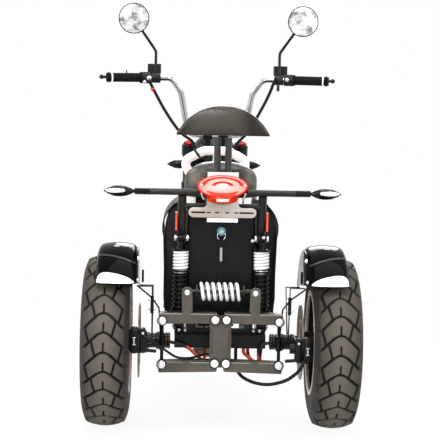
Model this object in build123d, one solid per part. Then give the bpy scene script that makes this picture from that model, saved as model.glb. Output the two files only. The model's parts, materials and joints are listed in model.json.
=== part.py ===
from build123d import *
import math
import os

os.makedirs("parts", exist_ok=True)

# Three-wheeled electric scooter: one steered front wheel, and two hub-motor rear wheels on a
# leaning linkage of pivoted arms. Millimetres. +Y is forward, +X is the rider's right, +Z is up,
# and the origin lies on the ground under the middle of the machine.
SIDES = (-1, 1)

# Stance
wheelbase = 1280.0
half_track = 331.0
tyre_radius = 250.0
tyre_width = 140.0
tyre_height = 98.0
bead_radius = tyre_radius - tyre_height
rear_axle_y = -wheelbase / 2
front_axle_y = wheelbase / 2
axle_z = tyre_radius

# Clearances
running_fit = 0.05
bearing_gap = 0.5
bolt_play = 0.1
seat_gap = 0.3
moving_gap = 5.0
overrun = 2.0


def rod(start, end, radius):
    """Round bar from one point to another."""
    foot = Vector(*start)
    run = Vector(*end) - foot
    return extrude(Plane(origin=foot, z_dir=run) * Circle(radius), amount=run.length)


def bent_bar(points, bends, radius, bore=0):
    """Round bar or tube along straight runs that are joined by tangent arcs."""
    path = FilletPolyline(*points, radius=bends)
    section = Circle(radius)
    if bore:
        section -= Circle(bore)
    return sweep(Plane(origin=path @ 0, z_dir=path % 0) * section, path=path)


def turned(profile, centre):
    """Solid turned about an axle along X; profile points are (along the axle, out from it)."""
    return Pos(*centre) * revolve(make_face(Polyline(*profile, close=True)), axis=Axis.X)


def flipped(shape):
    """The same shape on the other side of the machine."""
    return mirror(shape, about=Plane.YZ)


def to_side(shape, side):
    """A shape modelled on the right, on the side asked for."""
    return shape if side > 0 else flipped(shape)


def cut_plate(outline, plane, thickness):
    """Flat plate cut to an outline, its thickness centred on its plane."""
    return extrude(plane * make_face(Polyline(*outline, close=True)), amount=thickness / 2, both=True)


def save(node, *pieces):
    """Write the solids of one node to its own file."""
    solids = [solid for piece in pieces for solid in piece.solids()]
    body = solids[0] if len(solids) == 1 else Compound(solids)
    export_step(body, f"parts/{node}.step")


# Tyres. Shares: of the half width, and of the height from bead to crown.
tyre_bead_shares = (0.66, 0.0)
tyre_bulge_shares = (0.99, 0.50)
tyre_shoulder_shares = (0.80, 0.87)


def tyre_spot(shares, side):
    """Point of the tyre's section on one side."""
    across, up = shares
    return (side * across * tyre_width / 2, bead_radius + up * (tyre_radius - bead_radius))


def tyre(centre):
    """Low, wide tyre as a closed ring with a round crown and full sidewalls."""
    crown = (0, tyre_radius)
    outline = [Line(tyre_spot(tyre_bead_shares, -1), tyre_spot(tyre_bead_shares, 1))]
    for side in SIDES:
        bead = tyre_spot(tyre_bead_shares, side)
        bulge = tyre_spot(tyre_bulge_shares, side)
        shoulder = tyre_spot(tyre_shoulder_shares, side)
        outline.append(ThreePointArc(bead, bulge, shoulder))
    outline.append(ThreePointArc(tyre_spot(tyre_shoulder_shares, -1), crown,
                                 tyre_spot(tyre_shoulder_shares, 1)))
    return Pos(*centre) * revolve(make_face(outline), axis=Axis.X)


# Wheels
rim_wall = 12.0
rim_lip = 4.0
rim_lip_rise = 4.0
rim_shelf = 8.0
rim_seat_half = tyre_bead_shares[0] * tyre_width / 2 + rim_shelf
spoke_count = 5
spoke_web_half = 15.0
spoke_width = 34.0
hub_motor_radius = 104.0
hub_motor_half = 40.0
hub_cap_radius = 46.0
hub_cap_rise = 7.0
disc_radius = 110.0
disc_wall = 4.0
disc_ring_width = 36.0
disc_hat_radius = 42.0
disc_arm_width = 16.0
disc_arm_count = 6
disc_inset = 94.0
disc_x = half_track - disc_inset
axle_radius = 9.0
hub_boss_radius = 32.0
front_hub_radius = 34.0
front_hub_half = 52.0
front_disc_radius = 95.0

rim_inner_radius = bead_radius - rim_wall
hub_boss_reach = half_track - disc_x - disc_wall / 2
front_disc_x = front_hub_half + disc_wall / 2


def rim_ring():
    """Barrel that the tyre sits on, with a raised lip each side."""
    profile = []
    for side in SIDES:
        edge = [
            (side * (rim_seat_half + rim_lip), rim_inner_radius),
            (side * (rim_seat_half + rim_lip), bead_radius + rim_lip_rise),
            (side * rim_seat_half, bead_radius + rim_lip_rise),
            (side * rim_seat_half, bead_radius),
        ]
        profile.extend(edge if side < 0 else reversed(edge))
    return turned(profile, (0, 0, 0))


def spoked_web(inner_radius):
    """Flat web between hub and barrel with wide windows between the spokes."""
    window_inner = inner_radius + rim_wall / 2
    window_outer = rim_inner_radius - rim_wall / 2
    web = Circle(rim_inner_radius + rim_wall / 2) - Circle(inner_radius - rim_wall / 2)
    cutter = Circle(window_outer) - Circle(window_inner)
    for index in range(spoke_count):
        arm = Rot(Z=index * 360 / spoke_count) * Rectangle(rim_inner_radius * 2, spoke_width,
                                                           align=(Align.MIN, Align.CENTER))
        cutter -= arm
    return extrude(Plane.YZ * (web - cutter), amount=spoke_web_half, both=True)


def rear_rim():
    """Cast rim with the hub motor's drum; +X is outboard. The axle bore is blind."""
    drum = turned([
        (-hub_motor_half, 0),
        (-hub_motor_half, hub_motor_radius - hub_cap_rise),
        (-hub_motor_half + hub_cap_rise, hub_motor_radius),
        (hub_motor_half - hub_cap_rise, hub_motor_radius),
        (hub_motor_half, hub_motor_radius - hub_cap_rise),
        (hub_motor_half, hub_cap_radius),
        (hub_motor_half + hub_cap_rise, hub_cap_radius - hub_cap_rise),
        (hub_motor_half + hub_cap_rise, 0),
    ], (0, 0, 0))
    boss = rod((-hub_boss_reach, 0, 0), (0, 0, 0), hub_boss_radius)
    bore = rod((-hub_boss_reach - overrun, 0, 0), (hub_motor_half / 2, 0, 0), axle_radius + running_fit)
    return rim_ring() + spoked_web(hub_motor_radius) + drum + boss - bore


def front_rim():
    """Cast front rim on a plain hub with a through bore."""
    hub = rod((-front_hub_half, 0, 0), (front_hub_half, 0, 0), front_hub_radius)
    bore = rod((-front_hub_half - overrun, 0, 0), (front_hub_half + overrun, 0, 0),
               axle_radius + running_fit)
    return rim_ring() + spoked_web(front_hub_radius) + hub - bore


def brake_disc(radius):
    """Brake disc: a braking ring carried by short arms on a bolted centre."""
    ring = Circle(radius) - Circle(radius - disc_ring_width)
    centre = Circle(disc_hat_radius) - Circle(axle_radius + moving_gap)
    for index in range(disc_arm_count):
        centre += Rot(Z=index * 360 / disc_arm_count) * Pos(disc_hat_radius - overrun, 0) * Rectangle(
            radius - disc_hat_radius - disc_ring_width / 2, disc_arm_width,
            align=(Align.MIN, Align.CENTER))
    return extrude(Plane.YZ * (ring + centre), amount=disc_wall / 2, both=True)


# Steering geometry: the axis leans back by the rake, and the fork carries the axle ahead of it.
rake = 27.0
fork_offset = 40.0
rake_sin = math.sin(math.radians(rake))
rake_cos = math.cos(math.radians(rake))
steer_foot_y = front_axle_y - fork_offset / rake_cos
axle_up = -fork_offset * rake_sin / rake_cos


def steered(up, ahead=0, side=0):
    """Point at a height up the steering axis, ahead of it and to one side."""
    return (side, steer_foot_y - up * rake_sin + ahead * rake_cos,
            axle_z + up * rake_cos + ahead * rake_sin)


def steered_plane(up):
    """Plane square to the steering axis; its local y points ahead."""
    return Plane(origin=steered(up), x_dir=(1, 0, 0), z_dir=(0, -rake_sin, rake_cos))


# Fork
leg_side = 92.0
leg_upper_radius = 22.0
leg_lower_radius = 17.0
leg_top_up = 618.0
leg_step_up = 330.0
dropout_radius = 26.0
dropout_half = 12.0
clamp_high_up = 574.0
clamp_low_up = 420.0
clamp_thickness = 34.0
clamp_boss_radius = 27.0
stem_boss_radius = 30.0
clamp_web_half = 17.0
stem_radius = 13.0
cap_radius = 14.0
cap_height = 7.0

clamp_gap = 1.5
head_low_up = clamp_low_up + clamp_thickness + clamp_gap
head_high_up = clamp_high_up - clamp_gap
head_radius = 27.0


def triple_clamp(up):
    """Clamp that joins both fork legs to the steering stem."""
    outline = make_face(Polyline(
        (0, -clamp_web_half), (leg_side, fork_offset - clamp_web_half),
        (leg_side, fork_offset + clamp_web_half), (0, fork_offset),
        (-leg_side, fork_offset + clamp_web_half), (-leg_side, fork_offset - clamp_web_half),
        close=True))
    outline += Circle(stem_boss_radius)
    for side in SIDES:
        outline += Pos(side * leg_side, fork_offset) * Circle(clamp_boss_radius)
    return extrude(steered_plane(up) * outline, amount=clamp_thickness)


def fork():
    """Two legs in their clamps, the stem between them and the axle at the foot."""
    pieces = triple_clamp(clamp_high_up) + triple_clamp(clamp_low_up)
    pieces += rod(steered(clamp_low_up), steered(clamp_high_up + clamp_thickness), stem_radius)
    for side in SIDES:
        leg = side * leg_side
        pieces += rod(steered(axle_up, fork_offset, leg),
                      steered(leg_step_up + overrun, fork_offset, leg), leg_lower_radius)
        pieces += rod(steered(leg_step_up, fork_offset, leg), steered(leg_top_up, fork_offset, leg),
                      leg_upper_radius)
        pieces += rod((leg - side * dropout_half, front_axle_y, axle_z),
                      (leg + side * leg_lower_radius, front_axle_y, axle_z), dropout_radius)
    reach = leg_side + leg_lower_radius
    pieces += rod((-reach, front_axle_y, axle_z), (reach, front_axle_y, axle_z), axle_radius)
    return pieces


def fork_caps():
    """Coloured caps on top of the legs."""
    pieces = []
    for side in SIDES:
        leg = side * leg_side
        pieces.append(rod(steered(leg_top_up, fork_offset, leg),
                          steered(leg_top_up + cap_height, fork_offset, leg), cap_radius))
    return pieces


# Curved guards over the wheels. Arch shares: of the half width, and of the crown's rise.
guard_arch_shares = ((-1.0, 0.0), (-0.96, 0.48), (-0.76, 0.82), (-0.40, 0.96), (0.40, 0.96),
                     (0.76, 0.82), (0.96, 0.48), (1.0, 0.0))
guard_wall = 3.5
guard_lip_arc = 4.5
guard_lip_rise = 10.0
guard_lip_flatness = 0.12
guard_rib_rise = 1.5
guard_rib_arc = 0.8
front_guard_half = 68.0
front_guard_edge = tyre_radius
front_guard_crown = 22.0
front_guard_start = 28.0
front_guard_arc = 132.0
guard_tab = 22.0


def guard_section(half, edge, crown, wall):
    """Cross-section of an arched guard, in the plane through its axle."""
    under = [(across * half, edge + up * crown) for across, up in guard_arch_shares]
    over = [(across * (half + wall), edge + up * crown + wall * up) for across, up in guard_arch_shares]
    return make_face(Polyline(*under, *reversed(over), close=True))


def arched_guard(half, edge, crown, start, arc):
    """Guard round an axle along X: an arched strip turned from an angle above straight ahead."""
    return Rot(X=start) * revolve(guard_section(half, edge, crown, guard_wall), axis=Axis.X,
                                  revolution_arc=arc)


def guard_lip(half, edge, crown, angle):
    """Tail of a guard, where the arch flattens out to a straight edge."""
    first = Rot(X=angle) * guard_section(half, edge, crown, guard_wall)
    last = Rot(X=angle + guard_lip_arc) * guard_section(
        half, edge + guard_lip_rise, crown * guard_lip_flatness, guard_wall)
    return loft([first, last], ruled=True)


def front_guard():
    """Front mudguard with a tab each side that bolts to the fork leg."""
    guard = Pos(0, front_axle_y, axle_z) * arched_guard(
        front_guard_half, front_guard_edge, front_guard_crown, front_guard_start, front_guard_arc)
    leg_face = leg_side - leg_lower_radius - seat_gap
    tab_wall = leg_face - front_guard_half
    for side in SIDES:
        plane = steered_plane(axle_up + front_guard_edge)
        guard += plane * Pos(side * (leg_face - tab_wall / 2), fork_offset, 0) * Box(
            tab_wall, guard_tab, guard_tab * 2)
    return guard


# Front brake
front_caliper_size = (42.0, 38.0, 66.0)
front_caliper_up = 46.0
caliper_slot = disc_wall + 2 * moving_gap
caliper_edge = 5.0


def caliper_block(size, side_of_slot):
    """Brake caliper: a rounded block with a slot that the disc runs in, open towards the axle."""
    width, depth, height = size
    block = Box(width, depth, height)
    block = fillet(block.edges().filter_by(Axis.X), caliper_edge)
    slot = Pos(0, side_of_slot * caliper_edge, 0) * Box(caliper_slot, depth, height + overrun * 2)
    return block - slot


def front_caliper():
    """Front caliper behind the left leg, on a bracket that is coped to the leg."""
    width, depth, height = front_caliper_size
    back = front_disc_radius + moving_gap + caliper_edge - depth / 2
    plane = steered_plane(axle_up + front_caliper_up)
    block = plane * Pos(-front_disc_x, fork_offset - back, 0) * caliper_block(front_caliper_size, 1)
    reach = -front_disc_x - width / 2 - caliper_edge / 2
    bracket = plane * Pos(reach, fork_offset - back / 2, 0) * Box(caliper_edge, back, height / 2)
    leg = rod(steered(axle_up, fork_offset, -leg_side), steered(leg_step_up, fork_offset, -leg_side),
              leg_lower_radius)
    return block + bracket - leg


# Handlebar: its foot on the steering axis, and half of its route outwards as (side, y, z)
bar_radius = 11.0
bar_foot_up = 676.0
bar_foot_half = 98.0
bar_knee_half = 126.0
bar_knee_behind = 426.0
bar_knee_lift = 749.0
bar_bow_half = 160.0
bar_bow_behind = 468.0
bar_bow_lift = 797.0
bar_end_half = 378.0
bar_end_behind = 518.0
bar_end_lift = 793.0
bar_route = (
    (bar_foot_half, steered(bar_foot_up)[1], steered(bar_foot_up)[2]),
    (bar_knee_half, front_axle_y - bar_knee_behind, axle_z + bar_knee_lift),
    (bar_bow_half, front_axle_y - bar_bow_behind, axle_z + bar_bow_lift),
    (bar_end_half, front_axle_y - bar_end_behind, axle_z + bar_end_lift),
)
bar_bends = (34.0, 60.0, 34.0)
riser_side = 28.0
riser_radius = 17.0
riser_width = 34.0
grip_radius = 15.5
grip_length = 118.0
grip_flange = 19.0
grip_flange_wall = 5.0
grip_end_wall = 4.0


def handlebar():
    """High handlebar bent from one tube."""
    right = [(side, back, up) for side, back, up in bar_route]
    left = [(-side, back, up) for side, back, up in reversed(bar_route)]
    bends = [*reversed(bar_bends), *bar_bends]
    return bent_bar([*left, *right], bends, bar_radius)


def bar_spot(along, side):
    """Point on the grip stretch of the bar, measured from its end inwards."""
    end = Vector(*bar_route[3])
    run = (Vector(*bar_route[2]) - end).normalized()
    spot = end + run * along
    return (side * spot.X, spot.Y, spot.Z)


def bar_risers():
    """Clamps that hold the bar above the top of the fork."""
    pieces = []
    foot_up = clamp_high_up + clamp_thickness
    for side in SIDES:
        seat = Vector(*steered(bar_foot_up, 0, side * riser_side))
        foot = Vector(*steered(foot_up, 0, side * riser_side))
        post = rod(foot, seat, riser_radius - bar_radius / 2)
        collar = rod(seat - Vector(riser_width / 2, 0, 0), seat + Vector(riser_width / 2, 0, 0),
                     riser_radius)
        hole = rod(seat - Vector(riser_width, 0, 0), seat + Vector(riser_width, 0, 0), bar_radius)
        pieces.append(post + collar - hole)
    return pieces


def grips():
    """Rubber grips with a flange at the inner end and a closed outer end."""
    pieces = []
    for side in SIDES:
        sleeve = rod(bar_spot(-grip_end_wall, side), bar_spot(grip_length, side), grip_radius)
        sleeve += rod(bar_spot(grip_length - grip_flange_wall, side), bar_spot(grip_length, side),
                      grip_flange)
        pieces.append(sleeve - rod(bar_spot(0, side), bar_spot(grip_length + overrun, side), bar_radius))
    return pieces


# Levers, reservoirs and switches on the bar, as distances in from the bar's end
lever_perch_along = 168.0
lever_perch_length = 30.0
lever_perch_radius = 18.0
lever_ahead = 52.0
lever_tip_x = 402.0
lever_radius = 5.0
lever_ball_radius = 8.0
reservoir_size = (46.0, 40.0, 32.0)
reservoir_lift = 32.0
switch_along = 134.0
switch_length = 30.0
switch_radius = 20.0


def bar_controls():
    """Brake levers with reservoirs, and the switch housings beside the grips."""
    pieces = []
    for side in SIDES:
        perch = rod(bar_spot(lever_perch_along - lever_perch_length / 2, side),
                    bar_spot(lever_perch_along + lever_perch_length / 2, side), lever_perch_radius)
        middle = Vector(*bar_spot(lever_perch_along, side))
        pivot = middle + Vector(0, lever_ahead, 0)
        tip = Vector(side * lever_tip_x, bar_spot(0, side)[1] + lever_ahead, middle.Z)
        perch += rod(middle, pivot, lever_radius * 2)
        perch += rod(pivot, tip, lever_radius) + Pos(*tip) * Sphere(lever_ball_radius)
        perch += Pos(*(middle + Vector(side * lever_radius, lever_ahead / 2, reservoir_lift))) * Box(
            *reservoir_size)
        neck = middle + Vector(0, lever_ahead / 2, 0)
        perch += rod(neck, neck + Vector(0, 0, reservoir_lift), lever_radius * 2)
        housing = rod(bar_spot(switch_along - switch_length / 2, side),
                      bar_spot(switch_along + switch_length / 2, side), switch_radius)
        hole = rod(bar_spot(0, side), bar_spot(lever_perch_along * 2, side), bar_radius)
        pieces.append(perch - hole)
        pieces.append(housing - hole - perch)
    return pieces


# Mirrors
mirror_x = 291.0
mirror_behind = 498.0
mirror_y = front_axle_y - mirror_behind
mirror_lift = 997.0
mirror_z = axle_z + mirror_lift
mirror_radius = 52.5
mirror_depth = 20.0
mirror_lip = 3.0
mirror_back_radius = 30.0
mirror_glass_wall = 2.0
mirror_stem_radius = 5.0
mirror_stem_foot_along = 168.0
mirror_stem_rise = 92.0
mirror_stem_bend = 24.0


def mirror_face(side):
    """Plane of one mirror's glass, facing back."""
    return Plane(origin=(side * mirror_x, mirror_y - mirror_depth / 2, mirror_z), x_dir=(1, 0, 0),
                 z_dir=(0, -1, 0))


def mirror_shells():
    """Round mirror housings on bent stems."""
    pieces = []
    for side in SIDES:
        shell = loft([
            Plane(origin=(side * mirror_x, mirror_y + mirror_depth / 2, mirror_z), x_dir=(1, 0, 0),
                  z_dir=(0, -1, 0)) * Circle(mirror_back_radius),
            Plane(origin=(side * mirror_x, mirror_y, mirror_z), x_dir=(1, 0, 0),
                  z_dir=(0, -1, 0)) * Circle(mirror_radius),
            mirror_face(side) * Circle(mirror_radius),
        ], ruled=True)
        shell -= extrude(mirror_face(side) * Circle(mirror_radius - mirror_lip),
                         amount=-mirror_glass_wall)
        lift = lever_perch_radius + seat_gap
        foot = Vector(*bar_spot(mirror_stem_foot_along, side)) + Vector(0, 0, lift)
        knee = foot + Vector(0, 0, mirror_stem_rise - lift)
        top = Vector(side * mirror_x, mirror_y + mirror_depth / 4, mirror_z)
        reach = top + (knee - top).normalized() * mirror_back_radius
        stem = bent_bar([tuple(foot), tuple(knee), tuple(reach)], [mirror_stem_bend],
                        mirror_stem_radius)
        pieces.append(shell + stem)
    return pieces


def mirror_panes():
    """Mirror glass set into the housings."""
    return [extrude(mirror_face(side) * Circle(mirror_radius - mirror_lip), amount=-mirror_glass_wall)
            for side in SIDES]


# Lamps at the front
headlamp_up = 512.0
headlamp_ahead = 150.0
headlamp_radius = 84.0
headlamp_depth = 100.0
headlamp_back_radius = 40.0
headlamp_rim = 6.0
lamp_ear_radius = 7.0
signal_length = 82.0
signal_radius = 16.5
# Leaf shape: share of the length from the stem outwards, and share of the greatest radius
signal_profile_shares = ((0.0, 0.0), (0.0, 0.30), (0.12, 0.62), (0.28, 0.90), (0.45, 1.0),
                         (0.64, 0.90), (0.84, 0.50), (1.0, 0.0))
front_signal_stem_radius = 6.0
front_signal_lift = 491.0
front_signal_z = axle_z + front_signal_lift
front_signal_behind = 188.0
front_signal_y = front_axle_y - front_signal_behind
front_signal_tip_x = 173.0


def signal_pod(tip, side):
    """Leaf-shaped signal pointing outwards, turned about X."""
    root = tip - side * signal_length
    profile = [(root + side * along * signal_length, out * signal_radius)
               for along, out in signal_profile_shares]
    return turned(profile, (0, 0, 0))


def headlamp():
    """Round headlamp bowl with a bright rim, on ears from the fork."""
    face_y = steered(headlamp_up, headlamp_ahead)[1]
    centre_z = steered(headlamp_up, headlamp_ahead)[2]
    back = face_y - headlamp_depth
    bowl = revolve(make_face([
        Line((0, back), (headlamp_back_radius, back)),
        ThreePointArc((headlamp_back_radius, back),
                      (headlamp_radius - headlamp_rim * 2, back + headlamp_depth / 3),
                      (headlamp_radius, face_y - headlamp_rim)),
        Line((headlamp_radius, face_y - headlamp_rim), (headlamp_radius, face_y)),
        Line((headlamp_radius, face_y), (0, face_y)),
        Line((0, face_y), (0, back)),
    ]), axis=Axis.Y)
    lamp = Pos(0, 0, centre_z) * bowl
    for side in SIDES:
        leg = rod(steered(leg_step_up, fork_offset, side * leg_side),
                  steered(leg_top_up, fork_offset, side * leg_side), leg_upper_radius)
        ear = rod(steered(headlamp_up, fork_offset, side * leg_side),
                  steered(headlamp_up, headlamp_ahead - headlamp_depth / 2, side * headlamp_back_radius),
                  lamp_ear_radius)
        lamp += ear - leg
    return lamp


def front_signals():
    """Leaf-shaped front signals on stems from the fork's lower clamp."""
    pieces = []
    for side in SIDES:
        pod = Pos(0, front_signal_y, front_signal_z) * signal_pod(side * front_signal_tip_x, side)
        up = (front_signal_z - axle_z - fork_offset * rake_sin) / rake_cos
        leg_y = steered(up, fork_offset)[1]
        reach = side * (front_signal_tip_x - signal_length + front_signal_stem_radius)
        stem = rod((reach, leg_y, front_signal_z), (reach, front_signal_y, front_signal_z),
                   front_signal_stem_radius)
        leg = rod(steered(leg_step_up, fork_offset, side * leg_side),
                  steered(leg_top_up, fork_offset, side * leg_side), leg_upper_radius)
        pieces.append(pod + stem - leg)
    return pieces


# Main frame: twin tubes that rise from the floor, flare and meet in an arch behind the steering
tube_radius = 16.0
floor_rail_side = 80.0
floor_rail_lift = 19.0
floor_rail_z = axle_z + floor_rail_lift
floor_rail_back_ahead = 435.0
floor_rail_back = rear_axle_y + floor_rail_back_ahead
arch_top_lift = 546.0
arch_top_z = axle_z + arch_top_lift
arch_behind = 426.0
arch_y = front_axle_y - arch_behind
shoulder_side = 112.0
shoulder_lift = 509.0
shoulder_z = axle_z + shoulder_lift
shoulder_behind = 422.0
shoulder_y = front_axle_y - shoulder_behind
waist_side = 84.0
waist_lift = 451.0
waist_z = axle_z + waist_lift
waist_behind = 404.0
waist_y = front_axle_y - waist_behind
toe_behind = 306.0
toe_y = front_axle_y - toe_behind
toe_lift = 87.0
toe_z = axle_z + toe_lift
floor_front_behind = 340.0
floor_front_y = front_axle_y - floor_front_behind
arch_bends = (52.0, 26.0, 90.0, 60.0, 34.0)
gusset_radius = 10.0


def main_frame():
    """Arch and floor rails, the steering head and the cross tube at the back."""
    half = [
        (waist_side / 2, arch_y, arch_top_z),
        (shoulder_side, shoulder_y, shoulder_z),
        (waist_side, waist_y, waist_z),
        (floor_rail_side, toe_y, toe_z),
        (floor_rail_side, floor_front_y, floor_rail_z),
        (floor_rail_side, floor_rail_back, floor_rail_z),
    ]
    other = [(-side, back, up) for side, back, up in reversed(half)]
    bends = [arch_bends[4], arch_bends[3], arch_bends[2], arch_bends[1], arch_bends[0]]
    loop = bent_bar([*other, *half], [*bends, *reversed(bends)], tube_radius)
    head = rod(steered(head_low_up), steered(head_high_up), head_radius)
    high_spot = Vector(*steered((head_low_up + head_high_up) / 2 - head_radius))
    low_spot = Vector(*steered(head_low_up + head_radius))
    frame = loop + head
    frame += rod((0, arch_y, arch_top_z - tube_radius / 2), high_spot, gusset_radius)
    for side in SIDES:
        frame += rod((side * waist_side, waist_y, waist_z), low_spot, gusset_radius)
    bore = rod(steered(head_low_up - overrun), steered(head_high_up + overrun),
               stem_radius + bearing_gap)
    return frame - bore - cross_tube()


# Rear frame: side loops that carry the saddle, the shocks, the rear lamps and the backrest
stay_radius = 12.5
stay_side = 118.0
cross_tube_half = stay_side + stay_radius
seat_rail_lift = 399.0
seat_rail_z = axle_z + seat_rail_lift
strut_ahead = 435.0
strut_y = rear_axle_y + strut_ahead
box_back_ahead = 50.0
box_back = rear_axle_y + box_back_ahead
shock_top_y = box_back
shock_top_lift = 302.0
shock_top_z = axle_z + shock_top_lift
stay_top_behind = 12.0
stay_top_y = rear_axle_y - stay_top_behind
stay_top_lift = 430.0
stay_top_z = axle_z + stay_top_lift
rail_join_ahead = 40.0
rail_join_y = rear_axle_y + rail_join_ahead
signal_bar_radius = 9.5
signal_bar_half = 212.0
post_side = 16.5
post_radius = 10.0
post_y = rear_axle_y
post_top_ahead = 40.0
post_top_y = rear_axle_y + post_top_ahead
backrest_low_lift = 599.0
backrest_low_z = axle_z + backrest_low_lift
post_top_z = backrest_low_z + overrun
cross_bar_radius = 9.0
rear_tie_lift = 397.0
rear_tie_z = axle_z + rear_tie_lift
pivot_ahead = 378.0
pivot_y = rear_axle_y + pivot_ahead
pivot_lift = 19.0
pivot_z = axle_z + pivot_lift
pivot_bolt_radius = 8.0
pivot_ear_wall = 8.0
pivot_ear_height = 60.0
hinge_ahead = 514.0
hinge_y = rear_axle_y + hinge_ahead
hinge_lift = 407.0
hinge_z = axle_z + hinge_lift
hinge_radius = 5.0
hinge_half = 30.0
hinge_barrel_radius = 8.0
hinge_tie_lift = 357.0
hinge_tie_z = axle_z + hinge_tie_lift
shock_head_side = 118.0
shock_head_ahead = 15.0
shock_head_y = rear_axle_y + shock_head_ahead
shock_eye_radius = 11.0
shock_eye_width = 20.0
shock_ear_wall = 5.0
shock_bolt_radius = 5.0
shock_bolt_head_radius = 9.0
shock_bolt_head_wall = 5.0


def shock_bolt(x, y, z, side, radius=shock_bolt_radius):
    """Bolt or bore through a shock's eye and the ears beside it, without heads."""
    reach = shock_eye_width / 2 + shock_ear_wall + seat_gap
    return rod((side * x - reach, y, z), (side * x + reach, y, z), radius)


def headed_shock_bolt(x, y, z, side):
    """The same bolt with a round head at each end."""
    bolt = shock_bolt(x, y, z, side, shock_bolt_radius - bolt_play)
    reach = shock_eye_width / 2 + shock_ear_wall + seat_gap
    for out in SIDES:
        face = side * x + out * reach
        bolt += rod((face, y, z), (face + out * shock_bolt_head_wall, y, z), shock_bolt_head_radius)
    return bolt


def cross_tube():
    """Tube across the machine that the floor rails are coped to."""
    return rod((-cross_tube_half, floor_rail_back, floor_rail_z),
               (cross_tube_half, floor_rail_back, floor_rail_z), tube_radius)


def rear_frame():
    """Side loops, cross ties, backrest posts and the ears of the swing arm's pivot."""
    frame = cross_tube()
    for side in SIDES:
        stay = side * stay_side
        frame += bent_bar([
            (stay, strut_y, floor_rail_z + tube_radius / 2),
            (stay, strut_y, seat_rail_z),
            (stay, rail_join_y, seat_rail_z),
        ], [stay_radius * 4], stay_radius)
        frame += bent_bar([
            (stay, strut_y, floor_rail_z + tube_radius / 2),
            (stay, shock_top_y, shock_top_z),
            (stay, stay_top_y, stay_top_z),
        ], [stay_radius * 4], stay_radius)
        ear = Pos(stay - side * stay_radius / 2, (strut_y + pivot_y) / 2, pivot_z) * Box(
            pivot_ear_wall, strut_y - pivot_y + pivot_ear_height / 2, pivot_ear_height)
        frame += ear - rod((0, pivot_y, pivot_z), (stay * 2, pivot_y, pivot_z), pivot_bolt_radius)
        frame += rod((side * post_side, post_y, rear_tie_z), (side * post_side, post_top_y, post_top_z),
                     post_radius)
        for out in SIDES:
            x = stay + out * (shock_eye_width / 2 + seat_gap + shock_ear_wall / 2)
            frame += Pos(x, box_back - seat_gap, shock_top_z) * Box(
                shock_ear_wall, box_back - shock_head_y + shock_eye_radius, shock_eye_radius * 2,
                align=(Align.CENTER, Align.MAX, Align.CENTER))
        lug = side * (hinge_half + hinge_radius + seat_gap)
        frame += rod((lug, strut_y, hinge_tie_z), (lug, hinge_y, hinge_z), hinge_radius)
    frame += rod((-stay_side, post_y, rear_tie_z), (stay_side, post_y, rear_tie_z), cross_bar_radius)
    frame += rod((-stay_side, strut_y, hinge_tie_z), (stay_side, strut_y, hinge_tie_z), cross_bar_radius)
    pin = hinge_half + hinge_radius * 2 + seat_gap
    frame += rod((-pin, hinge_y, hinge_z), (pin, hinge_y, hinge_z), hinge_radius)
    frame -= Pos(0, post_top_y, backrest_low_z - seat_gap) * Box(
        stay_side, stay_side, post_radius * 2, align=(Align.CENTER, Align.CENTER, Align.MIN))
    for side in SIDES:
        frame -= shock_bolt(shock_head_side, shock_head_y, shock_top_z, side)
    return frame


# Floor
floor_half = 172.0
floor_wall = 8.0
floor_front_behind = 318.0
floor_front = front_axle_y - floor_front_behind
floor_back_ahead = 454.0
floor_back = rear_axle_y + floor_back_ahead
floor_corner = 40.0
controller_half = 58.0
controller_height = 56.0
controller_front_behind = 460.0
controller_front = front_axle_y - controller_front_behind
controller_back_ahead = 470.0
controller_back = rear_axle_y + controller_back_ahead
shield_wall = 4.0


def floor_board():
    """Footboard on the floor rails with round front corners."""
    length = floor_front - floor_back
    board = Pos(0, (floor_front + floor_back) / 2, floor_rail_z + tube_radius + floor_wall / 2) * Box(
        floor_half * 2, length, floor_wall)
    return fillet(board.edges().filter_by(Axis.Z), floor_corner)


def controller_box():
    """Controller and battery pack between the floor rails."""
    length = controller_front - controller_back
    middle_z = floor_rail_z + tube_radius - seat_gap - controller_height / 2
    box = Pos(0, (controller_front + controller_back) / 2, middle_z) * Box(
        controller_half * 2, length, controller_height)
    return fillet(box.edges().filter_by(Axis.Y), caliper_edge)


# Leg shield, flat between the rising tubes
shield_low_half = floor_rail_side - tube_radius - seat_gap
shield_high_half = waist_side - tube_radius - seat_gap


def leg_shield():
    """Thin panel that fills the space between the rising frame tubes."""
    low = Vector(0, toe_y, toe_z)
    rise = Vector(0, waist_y, waist_z) - low
    plane = Plane(origin=low, x_dir=(1, 0, 0), z_dir=rise.cross(Vector(1, 0, 0)))
    length = rise.length
    panel = cut_plate([(-shield_low_half, 0), (shield_low_half, 0), (shield_high_half, -length),
                       (-shield_high_half, -length)], plane, shield_wall)
    return panel


# Under-seat box, open at the top, with its battery
box_half = stay_side - stay_radius - seat_gap
box_front_ahead = 404.0
box_front = rear_axle_y + box_front_ahead
box_floor_lift = 59.0
box_floor_z = axle_z + box_floor_lift
box_top_lift = 382.0
box_top_z = axle_z + box_top_lift
box_wall = 4.0
box_corner = 14.0
battery_gap = 3.0
battery_height = 190.0
lock_lift = 321.0
lock_z = axle_z + lock_lift
lock_radius = 13.0
lock_height = 10.0
key_ring_radius = 12.0
key_ring_wire = 1.5
key_head_radius = 11.0
key_wall = 3.0
key_blade = (7.0, 40.0)


def rear_box():
    """Hollow box between the side loops."""
    depth = box_front - box_back
    height = box_top_z - box_floor_z
    middle = ((box_front + box_back) / 2, (box_top_z + box_floor_z) / 2)
    shell = Pos(0, *middle) * Box(box_half * 2, depth, height)
    shell = fillet(shell.edges().filter_by(Axis.Z), box_corner)
    hollow = Pos(0, middle[0], middle[1] + box_wall) * Box(
        (box_half - box_wall) * 2, depth - box_wall * 2, height)
    return shell - fillet(hollow.edges().filter_by(Axis.Z), box_corner - box_wall)


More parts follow.
